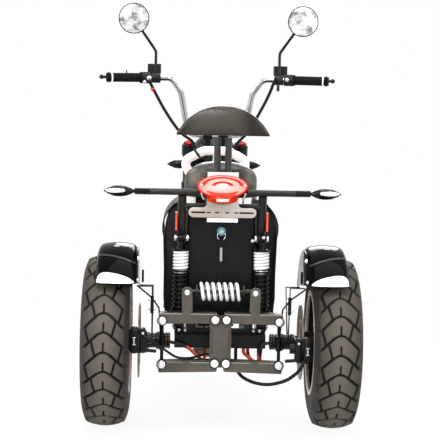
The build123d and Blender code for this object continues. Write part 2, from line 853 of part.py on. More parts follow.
def battery_block():
    """Battery standing on the box's floor."""
    depth = box_front - box_back - (box_wall + battery_gap) * 2
    block = Pos(0, (box_front + box_back) / 2, box_floor_z + box_wall + battery_height / 2) * Box(
        (box_half - box_wall - battery_gap) * 2, depth, battery_height)
    return fillet(block.edges().filter_by(Axis.Z), box_corner - box_wall)


def box_lock():
    """Lock barrel with its key, and a second key hanging from the ring."""
    face = box_back
    barrel = rod((0, face, lock_z), (0, face - lock_height, lock_z), lock_radius)
    key_y = face - lock_height
    head_z = lock_z - key_ring_radius * 3
    key = rod((0, key_y, lock_z), (0, key_y - lock_height, lock_z), lock_radius / 2)
    ring = Pos(0, key_y - lock_height / 2, lock_z - key_ring_radius - key_ring_wire) * Rot(X=90) * Torus(
        key_ring_radius, key_ring_wire)
    head = rod((0, key_y - lock_height / 2 - key_wall / 2, head_z),
               (0, key_y - lock_height / 2 + key_wall / 2, head_z), key_head_radius)
    blade = Pos(0, key_y - lock_height / 2, head_z - key_head_radius - key_blade[1] / 2) * Box(
        key_blade[0], key_wall, key_blade[1] + overrun)
    return barrel + key + ring + head + blade


# Side covers
cover_wall = 4.0
cover_inner = stay_side + stay_radius + seat_gap
cover_top_lift = 402.0
cover_top_z = axle_z + cover_top_lift
cover_bulge_lift = 297.0
cover_bulge_z = axle_z + cover_bulge_lift
cover_bulge_side = 173.0
cover_low_lift = 57.0
cover_low_z = axle_z + cover_low_lift
cover_low_side = 165.0
cover_back_ahead = 140.0
cover_back_y = rear_axle_y + cover_back_ahead
cover_front_ahead = 480.0
cover_front_y = rear_axle_y + cover_front_ahead
cover_round_share = (0.82, 0.66)


def side_cover(side):
    """Moulded cover over one side loop: round over the top, flat below, open inside."""
    def section(inset):
        top = (cover_inner, cover_top_z - inset)
        bulge = (cover_bulge_side - inset, cover_bulge_z)
        low = (cover_low_side - inset, cover_low_z)
        out, up = cover_round_share
        between = (cover_inner + (cover_bulge_side - cover_inner - inset) * out,
                   cover_bulge_z + (cover_top_z - cover_bulge_z - inset) * up)
        return make_face([
            ThreePointArc(top, between, bulge), Line(bulge, low),
            Line(low, (cover_inner, cover_low_z)), Line((cover_inner, cover_low_z), top)])
    plane = Plane(origin=(0, cover_front_y, 0), x_dir=(1, 0, 0), z_dir=(0, -1, 0))
    length = cover_front_y - cover_back_y
    outer = extrude(plane * section(0), amount=length)
    hollow = Pos(0, cover_wall, 0) * extrude(plane * section(cover_wall), amount=length + cover_wall * 2)
    shell = outer - hollow
    return to_side(shell, side)


# Side reflectors on the rear stays
reflector_size = (6.0, 24.0, 56.0)
reflector_lift = 351.0
reflector_z = axle_z + reflector_lift


def reflector(side):
    """Flat reflector held against the outside of a rear stay."""
    lean = (reflector_z - shock_top_z) / (stay_top_z - shock_top_z)
    y = shock_top_y + (stay_top_y - shock_top_y) * lean
    x = side * (stay_side + stay_radius + seat_gap + reflector_size[0] / 2)
    return Pos(x, y, reflector_z) * fillet(Box(*reflector_size).edges().filter_by(Axis.X), caliper_edge)


# Signal bar with its leaf-shaped signals
rear_signal_reach = 136.0
signal_stem_length = 44.0
signal_stem_radius = 8.5
signal_rib_rise = 2.0
signal_rib_count = 7
rear_signal_tip = signal_bar_half + rear_signal_reach


stay_lean = (Vector(0, stay_top_y, stay_top_z) - Vector(0, shock_top_y, shock_top_z)).normalized()
signal_bar_y = stay_top_y + stay_lean.Y * (signal_bar_radius + seat_gap)
signal_bar_z = stay_top_z + stay_lean.Z * (signal_bar_radius + seat_gap)


def signal_bar():
    """Cross bar at the tail that carries the rear signals."""
    bar = rod((-signal_bar_half, signal_bar_y, signal_bar_z), (signal_bar_half, signal_bar_y, signal_bar_z),
              signal_bar_radius)
    return bar


def rear_signal(side):
    """Signal on a ribbed flexible stem, turned about the bar's axis."""
    start = signal_bar_half
    pitch = signal_stem_length / signal_rib_count
    profile = [(start, 0), (start, signal_bar_radius)]
    for index in range(signal_rib_count):
        low = start + index * pitch
        profile.append((low + pitch / 2, signal_stem_radius + signal_rib_rise))
        profile.append((low + pitch, signal_stem_radius))
    profile.append((start + signal_stem_length + pitch, 0))
    stem = turned(profile, (0, 0, 0))
    pod = signal_pod(rear_signal_tip, 1) + signal_pod(rear_signal_tip - pitch, 1)
    return to_side(Pos(0, signal_bar_y, signal_bar_z) * (stem + pod), side)


# Tail lamp and plate bracket
lamp_half = 72.0
lamp_height = 66.0
lamp_lift = 456.0
lamp_z = axle_z + lamp_lift
lamp_depth = 34.0
lamp_tilt = 28.0
lamp_foot_radius = 10.0
lens_half = 66.0
lens_height = 56.0
lens_rise = 16.0
plate_wall = 2.0
plate_strip_half = 46.5
plate_low_lift = 353.0
plate_low_z = axle_z + plate_low_lift
plate_high_lift = 447.0
plate_high_z = axle_z + plate_high_lift
plate_bar_half = 98.0
plate_bar_low_lift = 364.0
plate_bar_low_z = axle_z + plate_bar_low_lift
plate_bar_high_lift = 394.0
plate_bar_high_z = axle_z + plate_bar_high_lift
plate_slot_length = 42.0
plate_slot_width = 5.0
plate_slot_spacing = 140.0
plate_shoulder = 11.0

plate_y = signal_bar_y - signal_bar_radius - seat_gap
lamp_tilt_sin = math.sin(math.radians(lamp_tilt))
lamp_tilt_cos = math.cos(math.radians(lamp_tilt))
lamp_y = plate_y - plate_wall - seat_gap - lamp_depth / 2 * lamp_tilt_cos - lamp_height / 2 * lamp_tilt_sin
lamp_plane = Plane(origin=(0, lamp_y, lamp_z), x_dir=(1, 0, 0),
                   z_dir=(0, -lamp_tilt_cos, lamp_tilt_sin))


def tail_lamp_shell():
    """Oval lamp body that faces back and a little up, on a foot against the plate bracket."""
    body = extrude(lamp_plane * Ellipse(lamp_half, lamp_height / 2), amount=-lamp_depth / 2)
    foot_z = lamp_z - lamp_height / 2 * lamp_tilt_cos
    face_y = plate_y - plate_wall - seat_gap
    return body + rod((0, face_y, foot_z), (0, lamp_y, foot_z), lamp_foot_radius)


def tail_lamp_lens():
    """Domed oval lens on the lamp body."""
    dome = scale(Sphere(1), by=(lens_half, lens_height / 2, lens_rise))
    keep = Pos(0, 0, lens_rise) * Box(lens_half * 3, lens_height * 3, lens_rise * 2)
    return lamp_plane * (dome & keep)


def plate_bracket():
    """Bright bracket with round-ended arms; each arm has a long slot for the plate's bolts."""
    plane = Plane(origin=(0, plate_y, 0), x_dir=(1, 0, 0), z_dir=(0, -1, 0))
    bar_z = (plate_bar_low_z + plate_bar_high_z) / 2
    strip_z = (plate_low_z + plate_high_z) / 2
    outline = Pos(0, strip_z) * Rectangle(plate_strip_half * 2, plate_high_z - plate_low_z)
    outline += Pos(0, bar_z) * SlotOverall(plate_bar_half * 2, plate_bar_high_z - plate_bar_low_z)
    inner = [corner for corner in outline.vertices()
             if abs(abs(corner.X) - plate_strip_half) < seat_gap
             and plate_bar_low_z - seat_gap < corner.Y < plate_bar_high_z + seat_gap]
    outline = fillet(inner, plate_shoulder)
    for side in SIDES:
        outline -= Pos(side * plate_slot_spacing / 2, bar_z) * SlotOverall(plate_slot_length,
                                                                            plate_slot_width)
    return extrude(plane * outline, amount=plate_wall)


# Saddle and backrest
saddle_back_ahead = 100.0
saddle_back = rear_axle_y + saddle_back_ahead
saddle_front_ahead = 528.0
saddle_front = rear_axle_y + saddle_front_ahead
saddle_half = 117.0
saddle_nose_half = 72.0
saddle_base_lift = 417.0
saddle_base_z = axle_z + saddle_base_lift
saddle_base_wall = 18.0
saddle_top_lift = 509.0
saddle_top_z = axle_z + saddle_top_lift
saddle_edge = 22.0
saddle_waist_share = 0.55
saddle_shoulder_share = 0.22
backrest_half = 146.0
backrest_high_lift = 697.0
backrest_high_z = axle_z + backrest_high_lift
backrest_ahead = 42.0
backrest_y = rear_axle_y + backrest_ahead
backrest_wall = 52.0


def saddle_outline(inset):
    """Saddle seen from above: round at the back, narrow at the nose."""
    back = saddle_back + inset
    front = saddle_front - inset
    half = saddle_half - inset
    nose = saddle_nose_half - inset
    waist = back + (front - back) * saddle_waist_share
    shoulder = back + (front - back) * saddle_shoulder_share
    return make_face([
        ThreePointArc((-half, shoulder), (0, back), (half, shoulder)),
        Line((half, shoulder), (nose + inset, waist)),
        Line((nose + inset, waist), (nose, front - nose / 2)),
        ThreePointArc((nose, front - nose / 2), (0, front), (-nose, front - nose / 2)),
        Line((-nose, front - nose / 2), (-nose - inset, waist)),
        Line((-nose - inset, waist), (-half, shoulder)),
    ])


def saddle_cushion():
    """Padded saddle on its base."""
    low = saddle_base_z + saddle_base_wall
    block = extrude(Pos(0, 0, low) * saddle_outline(0), amount=saddle_top_z - low)
    top = block.faces().sort_by(Axis.Z)[-1]
    return fillet(top.edges(), saddle_edge)


def saddle_base():
    """Base plate under the saddle with its hinge barrel at the nose."""
    base = extrude(Pos(0, 0, saddle_base_z) * saddle_outline(caliper_edge), amount=saddle_base_wall)
    barrel = rod((-hinge_half, hinge_y, hinge_z), (hinge_half, hinge_y, hinge_z), hinge_barrel_radius)
    link = Pos(0, hinge_y, (hinge_z + saddle_base_z) / 2) * Box(
        hinge_half * 2, hinge_barrel_radius, saddle_base_z - hinge_z + overrun)
    pin_hole = rod((-hinge_half - overrun, hinge_y, hinge_z), (hinge_half + overrun, hinge_y, hinge_z),
                   hinge_radius + running_fit)
    return base + barrel + link - pin_hole


def backrest_cushion():
    """Half-moon back pad on top of the posts."""
    top = backrest_high_z - backrest_low_z
    outline = make_face([
        ThreePointArc((-backrest_half, 0), (0, top), (backrest_half, 0)),
        Line((backrest_half, 0), (-backrest_half, 0)),
    ])
    plane = Plane(origin=(0, backrest_y, backrest_low_z), x_dir=(1, 0, 0), z_dir=(0, -1, 0))
    return extrude(plane * outline, amount=backrest_wall / 2, both=True)


# Swing arm
cross_beam_half = 134.0
cross_beam_low_drop = 20.0
cross_beam_low_z = axle_z - cross_beam_low_drop
cross_beam_high_lift = 22.0
cross_beam_high_z = axle_z + cross_beam_high_lift
bridge_high_lift = 33.0
bridge_high_z = axle_z + bridge_high_lift
bridge_inset = 20.0
cross_beam_back_behind = 10.0
cross_beam_back_y = rear_axle_y - cross_beam_back_behind
cross_beam_front_ahead = 46.0
cross_beam_front_y = rear_axle_y + cross_beam_front_ahead
arm_side = 86.0
arm_width = 28.0
arm_height = 46.0
pivot_tube_radius = 19.0
pivot_side_gap = 1.0
pivot_tube_half = stay_side - stay_radius - pivot_ear_wall / 2 - pivot_side_gap
shock_foot_side = 122.0
shock_foot_ahead = 18.0
shock_foot_y = rear_axle_y + shock_foot_ahead
shock_foot_z = bridge_high_z + shock_eye_radius + seat_gap


def swing_arm():
    """Swing arm: two box arms from the pivot to a deep cross beam, with ears for the shocks."""
    beam = Pos(0, (cross_beam_back_y + cross_beam_front_y) / 2,
               (cross_beam_low_z + cross_beam_high_z) / 2) * Box(
        cross_beam_half * 2, cross_beam_front_y - cross_beam_back_y,
        cross_beam_high_z - cross_beam_low_z)
    beam = fillet(beam.edges().filter_by(Axis.X), caliper_edge)
    beam += Pos(0, (cross_beam_back_y + bridge_inset + cross_beam_front_y) / 2,
                (cross_beam_low_z + bridge_high_z) / 2) * Box(
        cross_beam_half * 2, cross_beam_front_y - cross_beam_back_y - bridge_inset,
        bridge_high_z - cross_beam_low_z)
    arms = rod((-pivot_tube_half, pivot_y, pivot_z), (pivot_tube_half, pivot_y, pivot_z),
               pivot_tube_radius)
    for side in SIDES:
        length = pivot_y - cross_beam_front_y + overrun
        arms += Pos(side * arm_side, (pivot_y + cross_beam_front_y - overrun) / 2, pivot_z
                    - (pivot_z - (cross_beam_low_z + cross_beam_high_z) / 2) / 2) * Box(
            arm_width, length, arm_height)
        for out in SIDES:
            x = side * shock_foot_side + out * (shock_eye_width / 2 + seat_gap + shock_ear_wall / 2)
            ear_height = shock_foot_z + shock_eye_radius - bridge_high_z + overrun
            arms += Pos(x, shock_foot_y, bridge_high_z - overrun + ear_height / 2) * Box(
                shock_ear_wall, shock_eye_radius * 2, ear_height)
        arms -= shock_bolt(shock_foot_side, shock_foot_y, shock_foot_z, side)
    bore = rod((-pivot_tube_half - overrun, pivot_y, pivot_z),
               (pivot_tube_half + overrun, pivot_y, pivot_z), pivot_bolt_radius)
    return beam + arms - bore


# Shocks, drawn along their own axis from foot to head. Shares of the length.
shock_body_radius = 16.0
shock_rod_radius = 7.0
shock_collar_radius = 25.0
shock_collar_wall = 5.0
white_spring_share = (0.635, 0.877)
black_spring_share = (0.18, 0.615)
spring_outer_radius = 22.5
spring_wire_radius = 3.5
white_coils = 7
black_coils = 8
coil_crest_share = 0.5


def shock_point(share, side):
    """Point on one shock's line, as a share of its length from foot to head."""
    foot = Vector(side * shock_foot_side, shock_foot_y, shock_foot_z)
    head = Vector(side * shock_head_side, shock_head_y, shock_top_z)
    return foot + (head - foot) * share


def shock(side):
    """Damper with an eye at each end and collars that hold the springs."""
    body = rod(shock_point(0, side), shock_point(1, side), shock_rod_radius)
    body += rod(shock_point(black_spring_share[0], side), shock_point(white_spring_share[1], side),
                shock_body_radius)
    for share in (black_spring_share[0], white_spring_share[0], white_spring_share[1]):
        spot = shock_point(share, side)
        step = (shock_point(1, side) - shock_point(0, side)).normalized() * shock_collar_wall
        body += rod(spot, spot - step, shock_collar_radius)
    for share in (0, 1):
        spot = shock_point(share, side)
        body += rod(spot - Vector(shock_eye_width / 2, 0, 0), spot + Vector(shock_eye_width / 2, 0, 0),
                    shock_eye_radius)
    body -= shock_bolt(shock_foot_side, shock_foot_y, shock_foot_z, side)
    return body - shock_bolt(shock_head_side, shock_head_y, shock_top_z, side)


def shock_spring(shares, coils, side):
    """Close-wound spring as a sleeve with one ridge for each turn."""
    low = shock_point(shares[0], side)
    high = shock_point(shares[1], side)
    length = (high - low).length - shock_collar_wall - 2 * seat_gap
    pitch = length / coils
    profile = [(shock_body_radius + seat_gap, 0)]
    for index in range(coils):
        profile.append((spring_outer_radius - spring_wire_radius, index * pitch))
        profile.append((spring_outer_radius, (index + coil_crest_share) * pitch))
    profile.append((spring_outer_radius - spring_wire_radius, length))
    profile.append((shock_body_radius + seat_gap, length))
    sleeve = revolve(Plane.XZ * make_face(Polyline(*profile, close=True)), axis=Axis.Z)
    return Plane(origin=low + (high - low).normalized() * seat_gap, z_dir=high - low) * sleeve


# Leaning linkage
link_inner = 16.5
link_outer = 170.0
link_droop = 1.5
link_upper_lift = 72.0
link_upper_z = axle_z + link_upper_lift
link_lower_drop = 55.0
link_lower_z = axle_z - link_lower_drop
link_back_behind = 74.0
link_back_y = rear_axle_y - link_back_behind
link_front_behind = 34.0
link_front_y = rear_axle_y - link_front_behind
link_wall = 4.0
link_inner_edge = 10.0
link_outer_edge = 180.0
upper_arm_low_lift = 63.0
upper_arm_low_z = axle_z + upper_arm_low_lift
upper_arm_high_lift = 95.0
upper_arm_high_z = axle_z + upper_arm_high_lift
lower_arm_low_drop = 79.0
lower_arm_low_z = axle_z - lower_arm_low_drop
lower_arm_high_drop = 46.0
lower_arm_high_z = axle_z - lower_arm_high_drop
arm_chamfer = 11.0
arm_chamfer_angle = -50.0
tab_side = 97.0
tab_half = 15.0
tab_top_lift = 167.0
tab_top_z = axle_z + tab_top_lift
tab_bolt_lift = 153.0
tab_bolt_z = axle_z + tab_bolt_lift
pivot_bolt_head_radius = 12.0
tab_bolt_head_radius = 8.5
link_bolt_radius = 6.0
upright_radius = 5.0
# Domed head of a pivot bolt. Shares: of the head's radius, and of its height
dome_shares = ((1.0, 0.0), (1.0, 0.35), (0.87, 0.68), (0.55, 0.93), (0.0, 1.0))
dome_height = 9.0
upright_eye_radius = 10.0


link_drop = (link_outer - link_inner) * math.tan(math.radians(link_droop))


def drooped(shape, z):
    """Arm on the right, turned down about its inner pivot by the linkage's droop."""
    return Pos(link_inner, 0, z) * Rot(Y=link_droop) * Pos(-link_inner, 0, -z) * shape


def tab_spot():
    """Place of a tab's bolt on the right, with the arm's droop, as (across, up)."""
    turn = math.radians(link_droop)
    across = tab_side - link_inner
    up = tab_bolt_z - link_upper_z
    return (link_inner + across * math.cos(turn) + up * math.sin(turn),
            link_upper_z + up * math.cos(turn) - across * math.sin(turn))


def channel_arm(low_z, high_z, opening):
    """Pressed arm on the right: a channel that is open along its top (+1) or its bottom (-1)."""
    depth = link_front_y - link_back_y
    length = link_outer_edge - link_inner_edge
    middle_x = (link_outer_edge + link_inner_edge) / 2
    height = high_z - low_z
    block = Pos(middle_x, (link_back_y + link_front_y) / 2, (low_z + high_z) / 2) * Box(
        length, depth, height)
    block = fillet(block.edges().filter_by(Axis.Y), caliper_edge)
    hollow = Pos(middle_x, (link_back_y + link_front_y) / 2,
                 (low_z + high_z) / 2 + opening * link_wall) * Box(
        length + overrun, depth - link_wall * 2, height)
    return block - hollow


def upper_arm(side):
    """Upper arm with the raised tab that carries the cross spring."""
    arm = channel_arm(upper_arm_low_z, upper_arm_high_z, -1)
    tab = Pos(tab_side, link_back_y + link_wall / 2, (upper_arm_high_z + tab_top_z) / 2) * Box(
        tab_half * 2, link_wall, tab_top_z - upper_arm_high_z + link_wall)
    tab = fillet(tab.edges().filter_by(Axis.Y).group_by(Axis.Z)[-1], tab_half - overrun)
    corner = Pos(link_inner_edge, (link_back_y + link_front_y) / 2, upper_arm_high_z) * Rot(
        Y=arm_chamfer_angle) * Box(arm_chamfer * 2, link_front_y - link_back_y + overrun, arm_chamfer)
    arm = to_side(drooped(arm + tab - corner, link_upper_z), side)
    return arm - link_bore(link_inner, link_upper_z, side) - link_bore(
        link_outer, link_upper_z - link_drop, side)


def lower_arm(side):
    """Lower arm of the linkage."""
    arm = channel_arm(lower_arm_low_z, lower_arm_high_z, 1)
    arm = to_side(drooped(arm, link_lower_z), side)
    return arm - link_bore(link_inner, link_lower_z, side) - link_bore(
        link_outer, link_lower_z - link_drop, side)


def link_bore(x, z, side):
    """Hole for a linkage pivot."""
    return rod((side * x, link_back_y - overrun, z), (side * x, link_front_y + overrun, z),
               link_bolt_radius)


plate_top_lift = 83.0
plate_top_z = axle_z + plate_top_lift
plate_bottom_drop = 67.0
plate_bottom_z = axle_z - plate_bottom_drop
plate_half = 31.0
plate_waist_half = 21.0
plate_end_share = 0.22
plate_slope_share = 0.08
plate_recess = 8.0
centre_back_y = link_back_y + link_wall + seat_gap
centre_front_y = link_front_y - link_wall - seat_gap


def centre_plate():
    """Centre upright of the linkage, bolted to the swing arm's cross beam."""
    end = (plate_top_z - plate_bottom_z) * plate_end_share
    slope = (plate_top_z - plate_bottom_z) * plate_slope_share
    outline = []
    for side in SIDES:
        edge = [
            (side * plate_half, plate_bottom_z),
            (side * plate_half, plate_bottom_z + end),
            (side * plate_waist_half, plate_bottom_z + end + slope),
            (side * plate_waist_half, plate_top_z - end - slope),
            (side * plate_half, plate_top_z - end),
            (side * plate_half, plate_top_z),
        ]
        outline.extend(edge if side > 0 else reversed(edge))
    plane = Plane(origin=(0, centre_back_y, 0), x_dir=(1, 0, 0), z_dir=(0, -1, 0))
    face = make_face(Polyline(*outline, close=True))
    plate = extrude(plane * face, amount=-(centre_front_y - centre_back_y))
    middle_z = (plate_top_z + plate_bottom_z) / 2
    plate += Pos(0, (centre_back_y + plate_recess + centre_front_y) / 2, middle_z) * Box(
        plate_half * 2, centre_front_y - centre_back_y - plate_recess,
        (plate_top_z - plate_bottom_z) * (1 - 2 * plate_end_share))
    plate += rod((0, centre_front_y, middle_z), (0, cross_beam_back_y, middle_z), plate_waist_half)
    for side in SIDES:
        for z in (link_upper_z, link_lower_z):
            plate -= link_bore(link_inner, z, side)
    return plate


def domed_head(x, z, radius):
    """Domed bolt head on the back of the linkage, pointing backwards."""
    profile = [(0, 0)]
    for out, up in dome_shares:
        profile.append((out * radius, up * dome_height))
    dome = revolve(Plane.XZ * make_face(Polyline(*profile, close=True)), axis=Axis.Z)
    return Pos(x, link_back_y, z) * Rot(X=90) * dome


def link_hardware():
    """Pivot bolts of the linkage with domed heads, and the bolts of the shocks and the swing arm."""
    pieces = []
    for side in SIDES:
        for x, drop in ((link_inner, 0), (link_outer, link_drop)):
            for z in (link_upper_z - drop, link_lower_z - drop):
                bolt = rod((side * x, link_back_y, z), (side * x, link_front_y, z),
                           link_bolt_radius - bolt_play)
                pieces.append(bolt + domed_head(side * x, z, pivot_bolt_head_radius))
        pieces.append(headed_shock_bolt(shock_foot_side, shock_foot_y, shock_foot_z, side))
        pieces.append(headed_shock_bolt(shock_head_side, shock_head_y, shock_top_z, side))
    pivot_reach = stay_side + pivot_ear_wall
    pieces.append(rod((-pivot_reach, pivot_y, pivot_z), (pivot_reach, pivot_y, pivot_z),
                      pivot_bolt_radius - bolt_play))
    return pieces


# Cross spring between the tabs
cross_spring_z = tab_spot()[1]
cross_spring_reach = 30.0
cross_spring_y = link_back_y + link_wall + cross_spring_reach
cross_spring_radius = 23.0
cross_wire_radius = 5.0
cross_spring_low = -64.0
cross_spring_high = 58.0
cross_coils = 6.5
cross_rod_radius = 6.0
cross_ring_radius = 21.0
cross_ring_wall = 4.0
cross_nut_start = 70.0
cross_nut_length = 14.0
cross_nut_radius = 9.0


def cross_spring():
    """Coil spring across the machine, wound about its rod."""
    length = cross_spring_high - cross_spring_low
    coil = Helix(pitch=length / cross_coils, height=length, radius=cross_spring_radius,
                 center=(cross_spring_low, cross_spring_y, cross_spring_z), direction=(1, 0, 0))
    start = Plane(origin=coil @ 0, z_dir=coil % 0)
    return sweep(start * Circle(cross_wire_radius), path=coil, is_frenet=True)


def cross_damper():
    """Rod inside the cross spring with a seat at each end, bolted to the tabs."""
    tab_x, tab_z = tab_spot()
    body = rod((-tab_x - tab_half / 2, cross_spring_y, cross_spring_z),
               (tab_x + tab_half / 2, cross_spring_y, cross_spring_z), cross_rod_radius)
    body += rod((cross_nut_start, cross_spring_y, cross_spring_z),
                (cross_nut_start + cross_nut_length, cross_spring_y, cross_spring_z), cross_nut_radius)
    for end, out in ((cross_spring_low, -1), (cross_spring_high, 1)):
        seat = end + out * (cross_wire_radius + seat_gap)
        body += rod((seat, cross_spring_y, cross_spring_z),
                    (seat + out * cross_ring_wall, cross_spring_y, cross_spring_z), cross_ring_radius)
    for side in SIDES:
        body += rod((side * tab_x, cross_spring_y, tab_z),
                    (side * tab_x, link_back_y + link_wall, tab_z), cross_rod_radius)
    heads = [domed_head(side * tab_x, tab_z, tab_bolt_head_radius) for side in SIDES]
    return [body, *heads]


# Axle carriers
axle_tube_radius = 22.0
axle_tube_inner = 146.0
axle_tube_outer = disc_x - disc_wall / 2 - moving_gap
axle_end = half_track + hub_motor_half / 2 - moving_gap
gusset_half = 9.0
stay_bar_width = 26.0
stay_bar_wall = 5.0
guard_stay_side_inset = 133.0
guard_stay_side = half_track - guard_stay_side_inset
guard_stay_angles = (-40.0, 41.0)
rear_guard_inner_inset = 85.0
rear_guard_inner = half_track - rear_guard_inner_inset
rear_guard_outer_outset = 35.0
rear_guard_outer = half_track + rear_guard_outer_outset
rear_guard_edge_gap = 16.0
rear_guard_edge = tyre_radius + rear_guard_edge_gap
rear_guard_crown = 22.0
rear_guard_start = 32.0
rear_guard_arc = 100.0
rear_guard_rib = 121.0
guard_side_steps = 12
guard_pad_size = (12.0, 12.0, 44.0)
guard_rod_radius = 2.5
guard_side_face = rear_guard_inner - guard_wall - seat_gap

# Thin rod from the guard's tail to the carrier: across, behind the axle and above it
guard_rod_route = (
    (guard_side_face - 2.0, -176.0, 186.0),
    (guard_stay_side + 1.0, -110.0, 138.0),
    (guard_stay_side - 20.0, -15.0, 102.0),
    (guard_stay_side - 26.0, -15.0, 18.0),
)
guard_rod_bends = (12.0, 12.0)


def axle_carrier(side):
    """Upright between the arms with the axle tube, the stub axle and the guard's stays."""
    upright_y = (link_back_y + link_front_y) / 2
    x = link_outer
    low_z = link_lower_z - link_drop
    high_z = link_upper_z - link_drop
    carrier = rod((x, upright_y, low_z), (x, upright_y, high_z), upright_radius)
    for z in (low_z, high_z):
        eye = rod((x, link_back_y + link_wall + seat_gap, z), (x, link_front_y - link_wall - seat_gap, z),
                  upright_eye_radius)
        carrier += eye
    carrier += Pos(x, (upright_y + rear_axle_y) / 2, axle_z) * Box(
        gusset_half * 2, rear_axle_y - upright_y, axle_tube_radius * 2)
    carrier += rod((axle_tube_inner, rear_axle_y, axle_z), (axle_tube_outer, rear_axle_y, axle_z),
                   axle_tube_radius)
    carrier += rod((axle_tube_inner, rear_axle_y, axle_z), (axle_end, rear_axle_y, axle_z), axle_radius)
    for z in (low_z, high_z):
        carrier -= link_bore(x, z, 1)
    for angle in guard_stay_angles:
        stay = Pos(guard_stay_side, 0, rear_guard_edge / 2) * Box(
            stay_bar_wall, stay_bar_width, rear_guard_edge)
        tab = Pos((guard_stay_side + guard_side_face) / 2, 0, rear_guard_edge - stay_bar_wall / 2) * Box(
            guard_side_face - guard_stay_side, stay_bar_width, stay_bar_wall)
        carrier += Pos(0, rear_axle_y, axle_z) * Rot(X=-angle) * (stay + tab)
    carrier += bent_bar([(x, rear_axle_y + back, axle_z + up) for x, back, up in guard_rod_route],
                        guard_rod_bends, guard_rod_radius)
    return to_side(carrier, side)


def guard_side():
    """Flat plate on the guard's inner side, from its rim down to a straight edge; +X is outboard."""
    end = rear_guard_start + rear_guard_arc
    rim = rear_guard_edge + rear_guard_crown / 2
    outline = []
    for index in range(guard_side_steps + 1):
        angle = math.radians(rear_guard_start + (end - rear_guard_start) * index / guard_side_steps)
        outline.append((rim * math.cos(angle), rim * math.sin(angle)))
    half = (rear_guard_outer - rear_guard_inner) / 2
    plate = Plane.YZ.offset(-half - guard_wall) * make_face(Polyline(*outline, close=True))
    pad_y = rim * math.cos(math.radians(rear_guard_start)) - guard_pad_size[1]
    pad_z = rim * math.sin(math.radians(rear_guard_start)) + guard_pad_size[2] / 2
    pad = Pos(-half - guard_wall - guard_pad_size[0] / 2 + running_fit, pad_y, pad_z) * Box(
        *guard_pad_size)
    return extrude(plate, amount=guard_wall) + fillet(pad.edges().filter_by(Axis.X), caliper_edge)


def rear_guard(side):
    """Rear mudguard, set inboard of the tyre's outer shoulder, with a flat inner side."""
    half = (rear_guard_outer - rear_guard_inner) / 2
    end = rear_guard_start + rear_guard_arc
    guard = arched_guard(half, rear_guard_edge, rear_guard_crown, rear_guard_start, rear_guard_arc)
    guard += guard_lip(half, rear_guard_edge, rear_guard_crown, end)
    guard += Rot(X=rear_guard_rib) * revolve(
        guard_section(half, rear_guard_edge, rear_guard_crown, guard_wall + guard_rib_rise),
        axis=Axis.X, revolution_arc=guard_rib_arc)
    guard += guard_side()
    return Pos(side * (rear_guard_inner + rear_guard_outer) / 2, rear_axle_y, axle_z) * to_side(guard, side)


# Rear calipers: sizes, and each side's own height
rear_caliper_size = (50.0, 56.0, 79.0)
rear_caliper_behind = 100.0
rear_caliper_y = rear_axle_y - rear_caliper_behind
rear_caliper_lift = {-1: 15.0, 1: -9.0}


def rear_caliper(side):
    """Caliper behind the disc with the bracket that ties it to the axle tube."""
    block = caliper_block(rear_caliper_size, 1)
    x = side * disc_x
    bracket_end = rear_axle_y - axle_tube_radius - seat_gap
    bracket = Pos(side * (disc_x - rear_caliper_size[0] / 2 + stay_bar_wall),
                  (rear_caliper_y + bracket_end) / 2, axle_z) * Box(
        stay_bar_wall, bracket_end - rear_caliper_y, axle_tube_radius * 2)
    return Pos(x, rear_caliper_y, axle_z + rear_caliper_lift[side]) * block + bracket


# Hoses and leads. Each route: across, behind or ahead of the rear axle, and above it
hose_radius = 3.5
large_hose_radius = 5.0
lead_radius = 5.0
cable_radius = 3.0
hose_share = 0.45
left_hose = ((-222.0, -128.4, 31.0), (-222.0, -144.0, 31.0), (-196.0, -146.0, 19.0),
             (-164.0, -122.0, -7.0), (-126.0, -88.0, -38.0), (-84.0, -57.0, -43.0),
             (-50.0, -30.0, -36.0), (-27.0, 8.0, -40.0), (-24.0, 24.0, -36.0), (-24.0, 24.0, -20.4))
right_hose = ((236.0, -128.4, -37.0), (236.0, -144.0, -37.0), (222.0, -148.0, -63.0),
              (190.0, -128.0, -93.0), (140.0, -102.0, -111.0), (96.0, -76.0, -109.0),
              (64.0, -42.0, -98.0), (50.0, -6.0, -83.0), (48.0, 14.0, -59.0), (48.0, 14.0, -20.4))
left_lead = ((-152.0, -22.4, 2.0), (-152.0, -32.0, 2.0), (-98.0, -31.0, -10.0), (-60.0, -26.0, -46.0),
             (-46.0, -2.0, -62.0), (-44.0, 22.0, -56.0), (-44.0, 22.0, -20.4))
right_lead = ((152.0, -22.4, 2.0), (152.0, -32.0, 2.0), (122.0, -32.0, -2.0), (118.0, -30.0, -30.0),
              (118.0, -14.0, -56.0), (116.0, 12.0, -56.0), (116.0, 22.0, -34.0), (116.0, 22.0, -20.4))
phase_lead = ((70.0, 0.0, -20.4), (70.0, 0.0, -34.0), (102.0, -12.0, -58.0), (92.0, 20.0, -60.0),
              (84.0, 30.0, -38.0), (84.0, 30.0, -20.4))

# Cable from a lever down to the fork's upper clamp: across, ahead of the clamp and above it
cable_route = ((60.0, -132.0, 110.0), (36.0, -86.0, 84.0), (46.0, -18.0, 34.0), (50.0, 0.0, 0.0))


def hose(points, radius):
    """Hose with arcs as large as its runs allow."""
    runs = [Vector(*b) - Vector(*a) for a, b in zip(points, points[1:])]
    radii = []
    for before, after in zip(runs, runs[1:]):
        turn = math.radians(before.get_angle(after))
        radii.append(hose_share * min(before.length, after.length) / math.tan(turn / 2))
    return bent_bar(points, radii, radius)


def axle_hose(route, radius):
    """Hose along a route that is given from the middle of the rear axle."""
    return hose([(x, rear_axle_y + back, axle_z + up) for x, back, up in route], radius)


